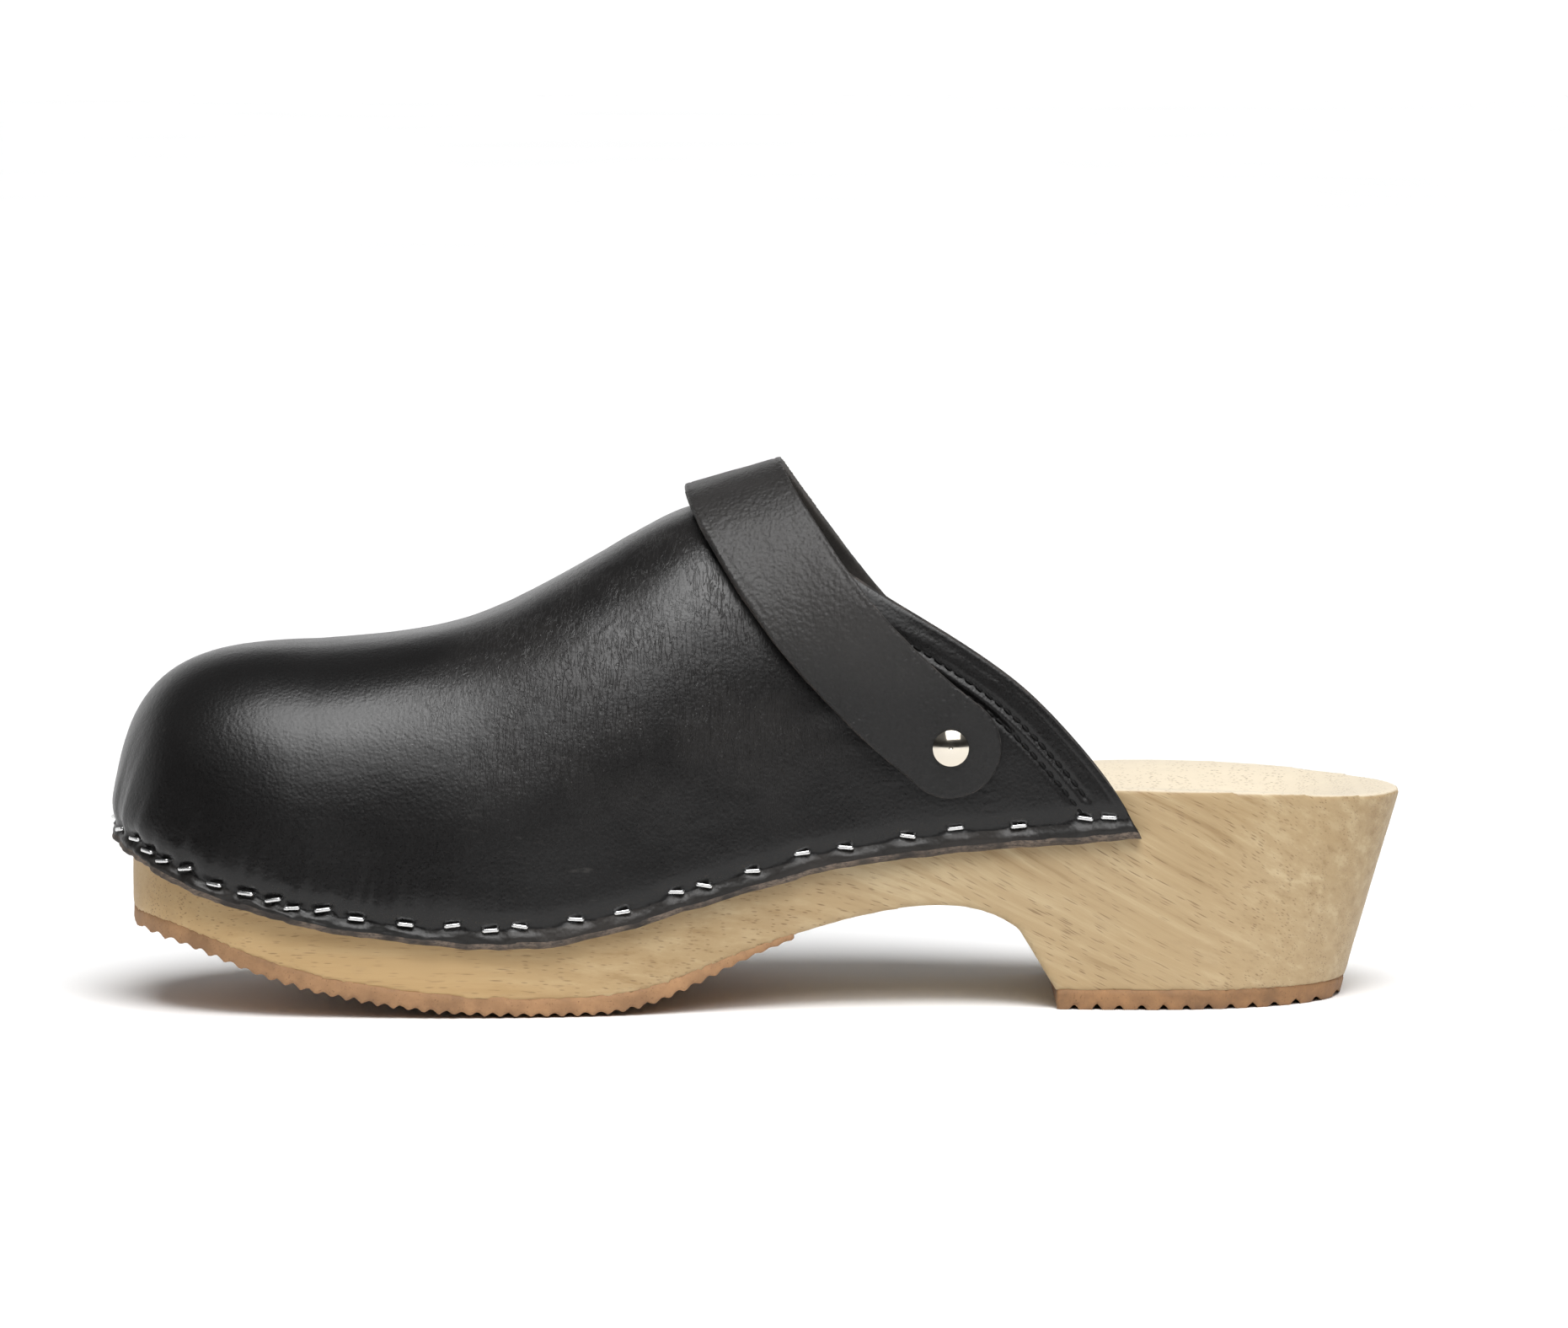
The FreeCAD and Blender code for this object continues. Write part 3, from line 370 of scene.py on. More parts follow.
class Shader:
    """A small builder for node materials."""

    def __init__(self, name):
        self.material = bpy.data.materials.new(name)
        self.material.use_nodes = True
        self.tree = self.material.node_tree
        self.tree.nodes.clear()
        self.output = self.tree.nodes.new("ShaderNodeOutputMaterial")
        self.surface = self.tree.nodes.new("ShaderNodeBsdfPrincipled")
        self.tree.links.new(self.surface.outputs[0], self.output.inputs["Surface"])

    def node(self, kind, inputs=(), **settings):
        made = self.tree.nodes.new("ShaderNode" + kind)
        for key, value in settings.items():
            setattr(made, key, value)
        for key, value in dict(inputs).items():
            self.put(made, key, value)
        return made

    def put(self, target, key, value):
        socket = target.inputs[key]
        if isinstance(value, bpy.types.NodeSocket):
            self.tree.links.new(value, socket)
        elif isinstance(value, bpy.types.Node):
            self.tree.links.new(value.outputs[0], socket)
        else:
            socket.default_value = value

    def set(self, **inputs):
        for key, value in inputs.items():
            self.put(self.surface, key.replace("_", " "), value)

    def place(self, scale=(1, 1, 1), turn=(0, 0, 0)):
        """The object's own coordinates, stretched and turned."""
        inputs = {"Vector": self.node("TexCoord").outputs["Object"], "Scale": scale, "Rotation": turn}
        return self.node("Mapping", inputs).outputs[0]

    def noise(self, vector, scale, detail=3.0, roughness=0.5, distortion=0.0):
        inputs = {"Vector": vector, "Scale": scale, "Detail": detail}
        inputs.update({"Roughness": roughness, "Distortion": distortion})
        return self.node("TexNoise", inputs).outputs["Fac"]

    def cells(self, vector, scale, feature="F1", output="Distance"):
        made = self.node("TexVoronoi", {"Vector": vector, "Scale": scale}, feature=feature)
        return made.outputs[output]

    def ramp(self, value, stops):
        made = self.node("ValToRGB", {"Fac": value})
        made.color_ramp.interpolation = "EASE"
        elements = made.color_ramp.elements
        while len(elements) < len(stops):
            elements.new(0.5)
        for element, (position, colour) in zip(elements, stops):
            element.position = position
            element.color = colour
        return made.outputs["Color"]

    def range(self, value, low, high, to_low=0.0, to_high=1.0, smooth=False):
        inputs = {"Value": value, "From Min": low, "From Max": high}
        inputs.update({"To Min": to_low, "To Max": to_high})
        kind = "SMOOTHSTEP" if smooth else "LINEAR"
        return self.node("MapRange", inputs, interpolation_type=kind).outputs[0]

    def math(self, operation, first, second=0.0):
        return self.node("Math", {0: first, 1: second}, operation=operation).outputs[0]

    def mix(self, factor, first, second):
        return self.node("MixRGB", {"Fac": factor, "Color1": first, "Color2": second}).outputs[0]

    def relief(self, height, strength, distance, normal=None):
        inputs = {"Height": height, "Strength": strength, "Distance": distance}
        if normal is not None:
            inputs["Normal"] = normal
        return self.node("Bump", inputs).outputs[0]


def colour(red, green, blue):
    """Scene-linear colour for screen values from 0 to 255."""
    linear = [
        c / 255 / 12.92 if c <= 10 else ((c / 255 + 0.055) / 1.055) ** 2.4 for c in (red, green, blue)
    ]
    return (*linear, 1)


# ---------------- materials


def leather_material(name, base, worn, roughness, grain_scale, grain_depth, zone=None):
    """Smooth dyed leather: fine pebble grain, pores, faint scuffs and a soft waxed shine.

    The zone "strap" has painted shade, darker towards its riveted ends; "instep" has fine folds where the
    foot bends, and is lighter there, partly scuffed leather and partly a painted highlight.
    """
    s = Shader(name)
    axes = s.node("SeparateXYZ", {"Vector": s.node("TexCoord").outputs["Object"]})
    x, z = axes.outputs["X"], axes.outputs["Z"]
    place = s.place()
    pebbles = s.cells(place, grain_scale, feature="SMOOTH_F1")
    fine = s.noise(place, grain_scale * 1.7, detail=4.0, roughness=0.6)
    lengthwise = s.place(scale=(1.0, 0.35, 0.5))
    creases = s.noise(lengthwise, 260.0, detail=5.0, roughness=0.62, distortion=1.2)
    patches = s.noise(place, 38.0, detail=4.0, roughness=0.55)
    slanting = s.place(scale=(0.35, 1.0, 1.6), turn=(0.2, 0.5, 0.3))
    scuffs = s.noise(slanting, 520.0, detail=2.0, distortion=0.6)
    scuff_mask = s.math("MULTIPLY", s.range(scuffs, 0.66, 0.76), s.range(patches, 0.50, 0.68))
    tone = s.mix(s.range(patches, 0.35, 0.70), base, worn)
    tone = s.mix(s.math("MULTIPLY", scuff_mask, 0.25), tone, colour(70, 67, 64))
    if zone == "strap":
        # Painted shade: the strap's lower part, towards its riveted ends, is darkened.
        painted_shade_low_end = s.range(z, 0.078, 0.058, 0.0, 0.85, smooth=True)
        tone = s.mix(painted_shade_low_end, tone, colour(13, 12, 12))
    shine = s.range(fine, 0.3, 0.7, roughness - 0.05, roughness + 0.07)
    shine = s.math("ADD", shine, s.math("MULTIPLY", s.range(patches, 0.35, 0.7), 0.06))
    shine = s.math("ADD", shine, s.math("MULTIPLY", scuff_mask, 0.12))
    normal = s.relief(pebbles, 0.55, grain_depth)
    normal = s.relief(fine, 0.40, grain_depth * 0.8, normal)
    normal = s.relief(creases, 0.30, grain_depth * 2.2, normal)
    if zone == "instep":
        folds_and_painted_sheen = s.math(
            "MULTIPLY", s.range(x, -0.078, -0.040, smooth=True), s.range(x, 0.030, 0.0, smooth=True)
        )
        folds_and_painted_sheen = s.math("MULTIPLY", folds_and_painted_sheen, s.range(z, 0.028, 0.060, smooth=True))
        patchy = s.range(s.noise(place, 75.0, detail=3.0), 0.40, 0.62, 0.25, 1.0)
        folds_and_painted_sheen = s.math("MULTIPLY", folds_and_painted_sheen, patchy)
        across_foot = s.place(scale=(1.0, 0.30, 0.16), turn=(0, -0.30, 0))
        folds = s.noise(across_foot, 1250.0, detail=3.0, distortion=0.7)
        flat = s.range(s.math("ABSOLUTE", s.math("SUBTRACT", folds, 0.5)), 0.0, 0.045)
        lines = s.math("MULTIPLY", s.math("SUBTRACT", 1.0, flat), folds_and_painted_sheen)
        normal = s.relief(s.math("SUBTRACT", 1.0, lines), 0.7, 0.00010, normal)
        # The folded zone is also lightened: partly creased, scuffed leather, partly a painted highlight.
        tone = s.mix(s.math("MULTIPLY", folds_and_painted_sheen, 0.65), tone, colour(34, 32, 31))
    s.set(Base_Color=tone, Roughness=shine, Normal=normal)
    s.set(Specular_IOR_Level=0.34, Coat_Weight=0.08, Coat_Roughness=0.28)
    return s.material


def raw_edge_material(name, light, dark):
    """Cut or skived leather edge: fibrous, layered and matte."""
    s = Shader(name)
    fibres = s.noise(s.place(scale=(1, 1, 3)), 900.0, detail=5.0, roughness=0.7)
    blotches = s.noise(s.place(), 160.0, detail=3.0)
    tone = s.ramp(fibres, [(0.30, dark), (0.62, light)])
    tone = s.mix(s.range(blotches, 0.40, 0.62), tone, dark)
    s.set(Base_Color=tone, Roughness=s.range(fibres, 0.3, 0.7, 0.62, 0.85))
    s.set(Normal=s.relief(fibres, 0.8, 0.0003))
    return s.material


def suede_material(name, light, dark):
    """The flesh side of the leather: napped and dull."""
    s = Shader(name)
    nap = s.noise(s.place(), 1400.0, detail=4.0, roughness=0.7)
    clouds = s.noise(s.place(), 55.0, detail=3.0)
    tone = s.mix(s.range(clouds, 0.35, 0.65), light, dark)
    tone = s.mix(s.range(nap, 0.35, 0.65, 0.0, 0.4), tone, dark)
    s.set(Base_Color=tone, Roughness=0.95, Normal=s.relief(nap, 0.7, 0.0003))
    s.set(Sheen_Weight=0.25, Sheen_Roughness=0.5)
    return s.material


WAIST_X = 0.025
HEEL_GRAIN_DIP = 0.45
FORE_GRAIN_DIP = 0.05


def wood_material(name):
    """Pale diffuse-porous hardwood: grain along the shoe, dipping to the rear through the heel."""
    s = Shader(name)
    raw = s.node("TexCoord").outputs["Object"]
    axes = s.node("SeparateXYZ", {"Vector": raw})
    x, y, z = (axes.outputs[k] for k in "XYZ")
    beyond = s.math("SUBTRACT", x, WAIST_X)
    past_waist = s.node("Math", {0: beyond, 1: 0.0, 2: 0.03}, operation="SMOOTH_MAX")
    dipped = s.math("ADD", z, s.math("MULTIPLY", past_waist, HEEL_GRAIN_DIP))
    dipped = s.math("ADD", dipped, s.math("MULTIPLY", x, FORE_GRAIN_DIP))
    sway = s.math("MULTIPLY", s.noise(s.place(scale=(0.3, 1, 1)), 22.0, detail=2.0), 0.010)
    grain = s.node("CombineXYZ", {0: x, 1: y, 2: s.math("ADD", dipped, sway)})

    def along_grain(stretch):
        return s.node("Mapping", {"Vector": grain, "Scale": (stretch, 1, 1)}).outputs[0]

    streaks = s.noise(along_grain(0.05), 380.0, detail=6.0, roughness=0.66)
    bands = s.noise(along_grain(0.08), 105.0, detail=3.0, roughness=0.5)
    clouds = s.noise(s.place(scale=(0.5, 1, 1)), 26.0, detail=3.0)
    pores = 0.0
    for size, stretch, keep in ((1900.0, 0.085, 0.56), (2600.0, 0.12, 0.62)):
        spots = s.range(s.cells(along_grain(stretch), size), 0.34, 0.16)
        chosen = s.node("SeparateColor", {"Color": s.cells(along_grain(stretch), size, output="Color")})
        spots = s.math("MULTIPLY", spots, s.range(chosen.outputs[0], keep, keep + 0.10))
        pores = s.math("MAXIMUM", spots, pores)
    patches = s.noise(along_grain(0.3), 70.0, detail=3.0)
    pores = s.math("MULTIPLY", pores, s.range(patches, 0.34, 0.62, 0.35, 1.0))
    tone = s.ramp(streaks, [
        (0.30, colour(146, 121, 86)),
        (0.47, colour(169, 146, 110)),
        (0.66, colour(185, 165, 130)),
    ])
    tone = s.mix(s.range(bands, 0.40, 0.66, 0.0, 0.50), tone, colour(162, 136, 97))
    tone = s.mix(s.range(clouds, 0.45, 0.72, 0.0, 0.30), tone, colour(190, 170, 138))
    toe = s.range(x, 0.0, -0.07, 0.0, 0.60, smooth=True)
    tone = s.mix(toe, tone, colour(196, 162, 112))
    smudge = s.noise(s.place(scale=(1, 1, 1.6)), 55.0, detail=5.0, roughness=0.65)
    tone = s.mix(s.range(smudge, 0.58, 0.80, 0.0, 0.40), tone, colour(150, 126, 96))
    # Painted light: faces that point up are made paler, as if lit from above.
    painted_light_up = s.node("SeparateXYZ", {"Vector": s.node("NewGeometry").outputs["Normal"]}).outputs["Z"]
    tone = s.mix(s.range(painted_light_up, 0.55, 0.90, 0.0, 0.80), tone, colour(232, 221, 200))
    tone = s.mix(s.math("MULTIPLY", pores, 0.62), tone, colour(106, 80, 52))
    fibre = s.noise(along_grain(0.05), 1700.0, detail=4.0, roughness=0.7)
    normal = s.relief(fibre, 0.30, 0.00010)
    normal = s.relief(s.math("SUBTRACT", 1.0, pores), 0.5, 0.00014, normal)
    s.set(Base_Color=tone, Roughness=s.range(fibre, 0.3, 0.7, 0.48, 0.62), Normal=normal)
    s.set(Specular_IOR_Level=0.35)
    return s.material


def rubber_material(name, light, dark):
    """Gum rubber: matte, mottled, speckled with grit."""
    s = Shader(name)
    place = s.place()
    mottling = s.noise(place, 120.0, detail=5.0, roughness=0.65)
    grit = s.noise(place, 2200.0, detail=2.0)
    tone = s.mix(s.range(mottling, 0.35, 0.66), dark, light)
    tone = s.mix(s.range(grit, 0.62, 0.75, 0.0, 0.5), tone, colour(82, 58, 40))
    s.set(Base_Color=tone, Roughness=s.range(mottling, 0.3, 0.7, 0.62, 0.80))
    s.set(Normal=s.relief(grit, 0.35, 0.00012))
    s.set(Specular_IOR_Level=0.35)
    return s.material


def metal_material(name, tint, roughness, scratch):
    """Plated metal with hairline scratches."""
    s = Shader(name)
    hairs = s.noise(s.place(scale=(1, 1, 0.06), turn=(0.4, 0.3, 0.8)), 5200.0, detail=2.0)
    haze = s.noise(s.place(), 900.0, detail=3.0)
    s.set(Base_Color=tint, Metallic=1.0)
    s.set(Roughness=s.range(haze, 0.3, 0.7, roughness * 0.8, roughness * 1.35))
    s.set(Normal=s.relief(hairs, scratch, 0.00002))
    return s.material


def thread_material(name, tone, lit):
    """Waxed twisted thread."""
    s = Shader(name)
    twist = s.noise(s.place(), 3800.0, detail=2.0)
    s.set(Base_Color=s.mix(s.range(twist, 0.35, 0.65), tone, lit))
    s.set(Roughness=s.range(twist, 0.3, 0.7, 0.55, 0.75), Normal=s.relief(twist, 0.6, 0.00012))
    s.set(Specular_IOR_Level=0.2)
    return s.material


def plain_woven_material(name, light, dark):
    """Woven tape or bonded fibre."""
    s = Shader(name)
    weave = s.node("TexWave", {"Vector": s.place(), "Scale": 480.0, "Distortion": 1.0, "Detail": 1.0})
    tone = s.mix(s.range(weave.outputs["Fac"], 0.3, 0.7), light, dark)
    s.set(Base_Color=tone, Roughness=0.9, Normal=s.relief(weave.outputs["Fac"], 0.6, 0.0002))
    return s.material


VAMP_GRAIN = leather_material(
    "vamp_leather", colour(12, 11, 11), colour(17, 16, 16),
    roughness=0.29, grain_scale=1500.0, grain_depth=0.00008, zone="instep",
)
STRAP_GRAIN = leather_material(
    "strap_leather", colour(33, 32, 31), colour(45, 43, 42),
    roughness=0.44, grain_scale=1250.0, grain_depth=0.00034, zone="strap",
)
MARGIN_GRAIN = leather_material(
    "vamp_margin", colour(18, 17, 16), colour(36, 32, 29),
    roughness=0.42, grain_scale=1300.0, grain_depth=0.00014,
)
MARGIN_EDGE = raw_edge_material("leather_margin_edge", colour(112, 98, 86), colour(44, 38, 34))
DARK_EDGE = raw_edge_material("leather_burnished_edge", colour(70, 64, 60), colour(26, 24, 23))
FLESH = suede_material("leather_flesh_side", colour(58, 52, 47), colour(34, 31, 29))
WOOD = wood_material("sole_wood")
FORE_RUBBER = rubber_material("forepart_rubber", colour(172, 133, 96), colour(138, 105, 75))
HEEL_RUBBER = rubber_material("heel_rubber", colour(156, 118, 82), colour(120, 90, 63))
NICKEL = metal_material("nickel", colour(222, 214, 200), roughness=0.12, scratch=0.25)
ZINC = metal_material("staple_zinc", colour(214, 214, 214), roughness=0.26, scratch=0.5)
THREAD = thread_material("black_thread", colour(4, 4, 4), colour(14, 13, 13))
TAPE = plain_woven_material("facing_tape", colour(36, 34, 33), colour(18, 17, 17))
STIFFENER = plain_woven_material("toe_stiffener", colour(190, 172, 140), colour(150, 132, 104))


def paint(node, material):
    mesh = frame["nodes"][node].data
    mesh.materials.clear()
    mesh.materials.append(material)


# ---------------- staples' places


SINK = 0.00095
WIRE_ROUNDING = 0.00022
CROWN_DEPTH = 0.0009
SAME_PLACE = 0.00002
FLAT_ANGLE = 0.02
SHARP_ANGLE = 0.7
STAPLED_CENTRE = np.array([-0.05, 0, 0.02])


def islands(mesh):
    """The vertices of each separate piece of a mesh."""
    unseen = set(mesh.verts)
    groups = []
    while unseen:
        group = [unseen.pop()]
        for vertex in group:
            for edge in vertex.link_edges:
                other = edge.other_vert(vertex)
                if other in unseen:
                    unseen.remove(other)
                    group.append(other)
        groups.append(group)
    return groups


def round_staples(name, node):
    """Staples with rounded wire, driven in a little deeper; returns each crown's place and direction."""
    mesh = bmesh.new()
    mesh.from_mesh(frame["nodes"][node].data)
    bmesh.ops.remove_doubles(mesh, verts=mesh.verts, dist=SAME_PLACE)
    crowns = []
    for group in islands(mesh):
        co = np.array([vertex.co for vertex in group])
        leg = np.linalg.svd(co - co.mean(axis=0), full_matrices=False)[2][0]
        away = co.mean(axis=0) - STAPLED_CENTRE
        leg = -leg if leg @ (away * np.array([0.5, 1, 0])) < 0 else leg
        reach = co @ leg
        crown = co[reach > reach.max() - CROWN_DEPTH]
        along = np.linalg.svd(crown - crown.mean(axis=0), full_matrices=False)[2][0]
        crowns.append((crown.mean(axis=0) - leg * SINK, along))
        for vertex in group:
            vertex.co -= Vector(leg) * SINK
    flat = [edge for edge in mesh.edges if edge.calc_face_angle(0) < FLAT_ANGLE]
    bmesh.ops.dissolve_edges(mesh, edges=flat, use_verts=True)
    sharp = [edge for edge in mesh.edges if edge.calc_face_angle(0) > SHARP_ANGLE]
    bmesh.ops.bevel(
        mesh, geom=sharp, offset=WIRE_ROUNDING, segments=2, profile=0.5, affect="EDGES",
        clamp_overlap=True,
    )
    made = bpy.data.meshes.new(name)
    mesh.to_mesh(made)
    mesh.free()
    made.materials.clear()
    made.materials.append(ZINC)
    made.polygons.foreach_set("use_smooth", np.ones(len(made.polygons), bool))
    made.update()
    stands_for(linked(name, made), node, "clog")
    return crowns


CROWNS = []
for where in ("medial", "toe", "lateral"):
    CROWNS += round_staples(f"staple_wires_{where}", f"staples_{where}")

# ---------------- vamp

COLUMNS = 441
ROWS = 110
ROW_CROWDING = 1.35
LIP_STEPS = 3
EDGE_BULGE = 0.38
SEAM_OUTER = 0.0052
SEAM_INNER = 0.0077
SEAM_SPAN = 0.955
CROWN_HALF = 0.0015
# Depths of the outer face's reliefs, along the sides and round the toe.
PUCKER = 0.00010, 0.00062
LUMP = 0.00035, 0.00075
LIP_PULL = 0.00005, 0.00035
STAPLE_GROOVE = 0.00045, 0.00065
SWELL = 0.00010, 0.00030
STAPLE_DENT = 0.00085, 0.00125
FOLD = 0.00012, 0.00055
CRUMPLE = 0.00030, 0.00065
EDGE_RISE = 0.0006, 0.0013
INNER_LIP = 0.0, 0.00045
# Depths of the reliefs that are the same all over.
SEAM_RIDGE = 0.00018
SEAM_GROOVE = 0.00040
EDGE_CREASE = 0.00012
HAND_LASTING = 0.00045
GRAIN_FLOW = 0.00003
FLEX_DEPTH = 0.00007
SCUFF_DEPTH = 0.00010
# How far the reliefs reach.
PUCKER_REACH = 0.011
LIP_REACH = 0.0024
CRUMPLE_REACH = 0.0034
DENT_REACH = 0.0013
GROOVE_WIDTH = 0.00055

u_places = np.linspace(-1, 1, COLUMNS)
v_places = np.linspace(0, 1, ROWS) ** ROW_CROWDING
places = chart(u_places, v_places)
outer = surface_at(places)
inner = surface_at(places, LEATHER)
normals = grid_normals(outer)


def edge_distance(points, edge):
    """Distance to an edge line, and the length along that line at the nearest place."""
    lengths = run_lengths(edge)
    fine = np.linspace(0, lengths[-1], 3000)
    dense = np.stack([np.interp(fine, lengths, edge[:, k]) for k in range(3)], axis=1)
    tree = nearest(dense)
    found = [tree.find(p)[1:] for p in points.reshape(-1, 3)]
    index = np.array([f[0] for f in found])
    distance = np.array([f[1] for f in found])
    return distance.reshape(points.shape[:-1]), fine[index].reshape(points.shape[:-1])


from_margin, along_margin = edge_distance(outer, outer[:, 0, :])
from_topline = edge_distance(outer, outer[:, -1, :])[0]

staple_distance = np.full(outer.shape[:-1], 1.0)
for place, along in CROWNS:
    apart = outer - place
    lengthwise = apart @ along
    beside = np.sqrt(np.maximum(np.sum(apart**2, axis=-1) - lengthwise**2, 0))
    past_end = np.maximum(np.abs(lengthwise) - CROWN_HALF, 0)
    staple_distance = np.minimum(staple_distance, np.hypot(beside, past_end))

toe_share = 1 - blend(-0.100, -0.035, outer[..., 0])
front = 1 - blend(TOE_CENTRE[0] - 0.012, TOE_CENTRE[0] + 0.045, outer[..., 0])


def by_place(depths):
    """A depth that changes from its value along the sides to its value round the toe."""
    return mix(*depths, toe_share)


def wave(positions, size, seed):
    """Noise along a length, between about -1 and 1."""
    flat = positions.reshape(-1)
    values = np.array([noise.noise(Vector((p / size, seed, 0.37 * seed))) for p in flat])
    return values.reshape(positions.shape)


pucker = wave(along_margin, size=0.0042, seed=1.7) + 0.6 * wave(along_margin, size=0.0021, seed=5.1)
lump = wave(along_margin, size=0.0105, seed=9.3)
lip = bump(from_margin, 0, LIP_REACH)

offset = by_place(PUCKER) * pucker * bump(from_margin, 0, PUCKER_REACH)
offset += by_place(LUMP) * lump * lip
offset -= by_place(LIP_PULL) * lip
offset -= by_place(STAPLE_GROOVE) * bump(from_margin, 0.0039, 0.0017)
offset += by_place(SWELL) * bump(from_margin, 0.0085, 0.0038)
offset -= by_place(STAPLE_DENT) * bump(staple_distance, 0, DENT_REACH)

seam_span = (np.abs(u_places) < SEAM_SPAN)[:, None]
ridge = bump(from_topline, (SEAM_OUTER + SEAM_INNER) / 2, 0.0009)
grooves = bump(from_topline, SEAM_OUTER, GROOVE_WIDTH) + bump(from_topline, SEAM_INNER, GROOVE_WIDTH)
offset += seam_span * (SEAM_RIDGE * ridge - SEAM_GROOVE * grooves)
offset -= EDGE_CREASE * bump(from_topline, 0.0015, 0.00028)

under_strap = blend(-0.030, -0.012, outer[..., 0]) * blend(0.055, 0.060, outer[..., 2])
slow = rough(outer, size=0.024, seed=3.0) * HAND_LASTING * (1 - 0.8 * under_strap)
flex_zone = bump(outer[..., 0], -0.034, 0.026) * blend(0.018, 0.040, outer[..., 2])
flex_mask = blend(-0.15, 0.35, rough(outer, size=0.016, seed=61.0)) * flex_zone * (1 - under_strap)


def crackle(points, size, squeeze, turn, seed):
    """Branching fine folds that run mostly one way; deepest along the noise's zero lines."""
    x, y, z = points[..., 0], points[..., 1], points[..., 2]
    along = x * math.cos(turn) + z * math.sin(turn)
    over = z * math.cos(turn) - x * math.sin(turn)
    warp = 0.0022 * rough(points, size=0.006, seed=seed + 1)
    stretched = np.stack([along + warp, y * squeeze, over * squeeze], axis=-1)
    return bump(rough(stretched, size, seed), 0, 0.16)


flex = crackle(outer, size=0.0030, squeeze=0.30, turn=0.35, seed=11.0)
flex += 0.7 * crackle(outer, size=0.0019, squeeze=0.35, turn=-0.45, seed=17.0)
flow = rough(outer * np.array([0.45, 1.0, 1.0]), size=0.0030, seed=71.0)
offset += GRAIN_FLOW * flow * blend(0.006, 0.012, from_margin)

wandering = along_margin + 0.0006 * rough(outer, size=0.008, seed=19.0)
fold = bump(wave(wandering, size=0.0060, seed=4.4), 0, 0.055)
fold *= blend(-0.05, 0.30, wave(along_margin, size=0.0085, seed=13.1)) * bump(from_margin, 0, 0.017)
offset -= by_place(FOLD) * fold * blend(0.003, 0.006, from_margin)
crumple = rough(outer, size=0.0032, seed=83.0) + 0.6 * rough(outer, size=0.0015, seed=89.0)
offset += by_place(CRUMPLE) * crumple * np.exp(-((from_margin / CRUMPLE_REACH) ** 4))
offset += slow * blend(0.002, 0.012, from_margin) * blend(0.001, 0.008, from_topline)
offset -= FLEX_DEPTH * flex * flex_mask
scuff_points = outer * np.array([0.6, 1.0, 1.4])
scuffs = np.clip(rough(scuff_points, size=0.0016, seed=21.0) - 0.55, 0, 1) * front
offset -= SCUFF_DEPTH * scuffs * blend(0.006, 0.012, from_margin)

# The raw lower edge is cut by hand, so it rises and falls.
hand_cut = 0.00040 * wave(along_margin, size=0.013, seed=2.2)
hand_cut += 0.00030 * wave(along_margin, size=0.0045, seed=7.7)
sag = (hand_cut + by_place(EDGE_RISE)) * lip
shaped = outer + normals * offset[..., None]
shaped[..., 2] += sag

inner_lip = by_place(INNER_LIP) * lip + 0.35 * offset * lip
inside = inner + normals * inner_lip[..., None]
inside[..., 2] += sag


def shell_loops(outside, within, steps):
    """Closed loops through each column: up the outside, round the top edge, down, round the bottom."""
    loops = []
    for i in range(len(outside)):
        out, ins = outside[i], within[i]
        loop = list(out)
        for end, direction in ((-1, 1), (0, -1)):
            first, last = (out[end], ins[end]) if end == -1 else (ins[end], out[end])
            beside = (out[end] - out[end - 1]) if end == -1 else (out[0] - out[1])
            beside = beside / max(np.linalg.norm(beside), 1e-9)
            bulge = np.linalg.norm(first - last) * EDGE_BULGE
            arc = []
            for k in range(1, steps + 1):
                angle = math.pi * k / (steps + 1)
                middle = (first + last) / 2 + (first - last) / 2 * math.cos(angle)
                arc.append(middle + beside * bulge * math.sin(angle))
            loop += arc
            if end == -1:
                loop += list(ins[::-1])
        loops.append(loop)
    return np.array(loops)


loops = shell_loops(shaped, inside, LIP_STEPS)
loop_size = loops.shape[1]


GRAIN_SLOT, FLESH_SLOT, EDGE_SLOT, RAW_SLOT, MARGIN_SLOT = range(5)
MARGIN_BAND = 0.0033
RAW_BAND = 0.0005


def shell_faces(columns, rows, steps):
    """The shell's faces and their material slots, with the two rear ends closed."""
    size = 2 * rows + 2 * steps
    faces, slots = [], []
    for i in range(columns - 1):
        for j in range(size):
            k = (j + 1) % size
            faces.append((i * size + j, (i + 1) * size + j, (i + 1) * size + k, i * size + k))
            if j < rows - 1:
                slots.append(GRAIN_SLOT)
            elif j < rows + steps:
                slots.append(EDGE_SLOT)
            elif j < 2 * rows + steps - 1:
                slots.append(FLESH_SLOT)
            else:
                slots.append(RAW_SLOT)
    partner = [2 * rows + steps - 1 - j for j in range(rows)]
    for i, turned in ((0, False), (columns - 1, True)):
        for j in range(rows - 1):
            quad = [i * size + j, i * size + j + 1, i * size + partner[j + 1], i * size + partner[j]]
            faces.append(tuple(quad[::-1] if turned else quad))
            slots.append(EDGE_SLOT)
        top = [i * size + j for j in range(rows - 1, rows + steps + 1)]
        low = [i * size + j for j in range(2 * rows + steps - 1, size)] + [i * size]
        for loop in (top, low):
            faces.append(tuple(loop[::-1] if turned else loop))
            slots.append(EDGE_SLOT)
    return faces, slots


faces, slots = shell_faces(COLUMNS, ROWS, LIP_STEPS)
for k, face in enumerate(faces):
    column, row = divmod(face[0], loop_size)
    if slots[k] == GRAIN_SLOT and row < ROWS and from_margin[column, row] < MARGIN_BAND:
        slots[k] = MARGIN_SLOT if from_margin[column, row] > RAW_BAND else RAW_SLOT
vamp_materials = [VAMP_GRAIN, FLESH, DARK_EDGE, MARGIN_EDGE, MARGIN_GRAIN]
vamp = new_object("vamp_leather", loops.reshape(-1, 3), faces, vamp_materials, slots)
consistent_normals(vamp)
stands_for(vamp, "vamp", "clog")

# ---------------- stitches

STITCH_PITCH = 0.0024
STITCH_LENGTH = 0.00185
THREAD_RADIUS = 0.00034
THREAD_RING = 8
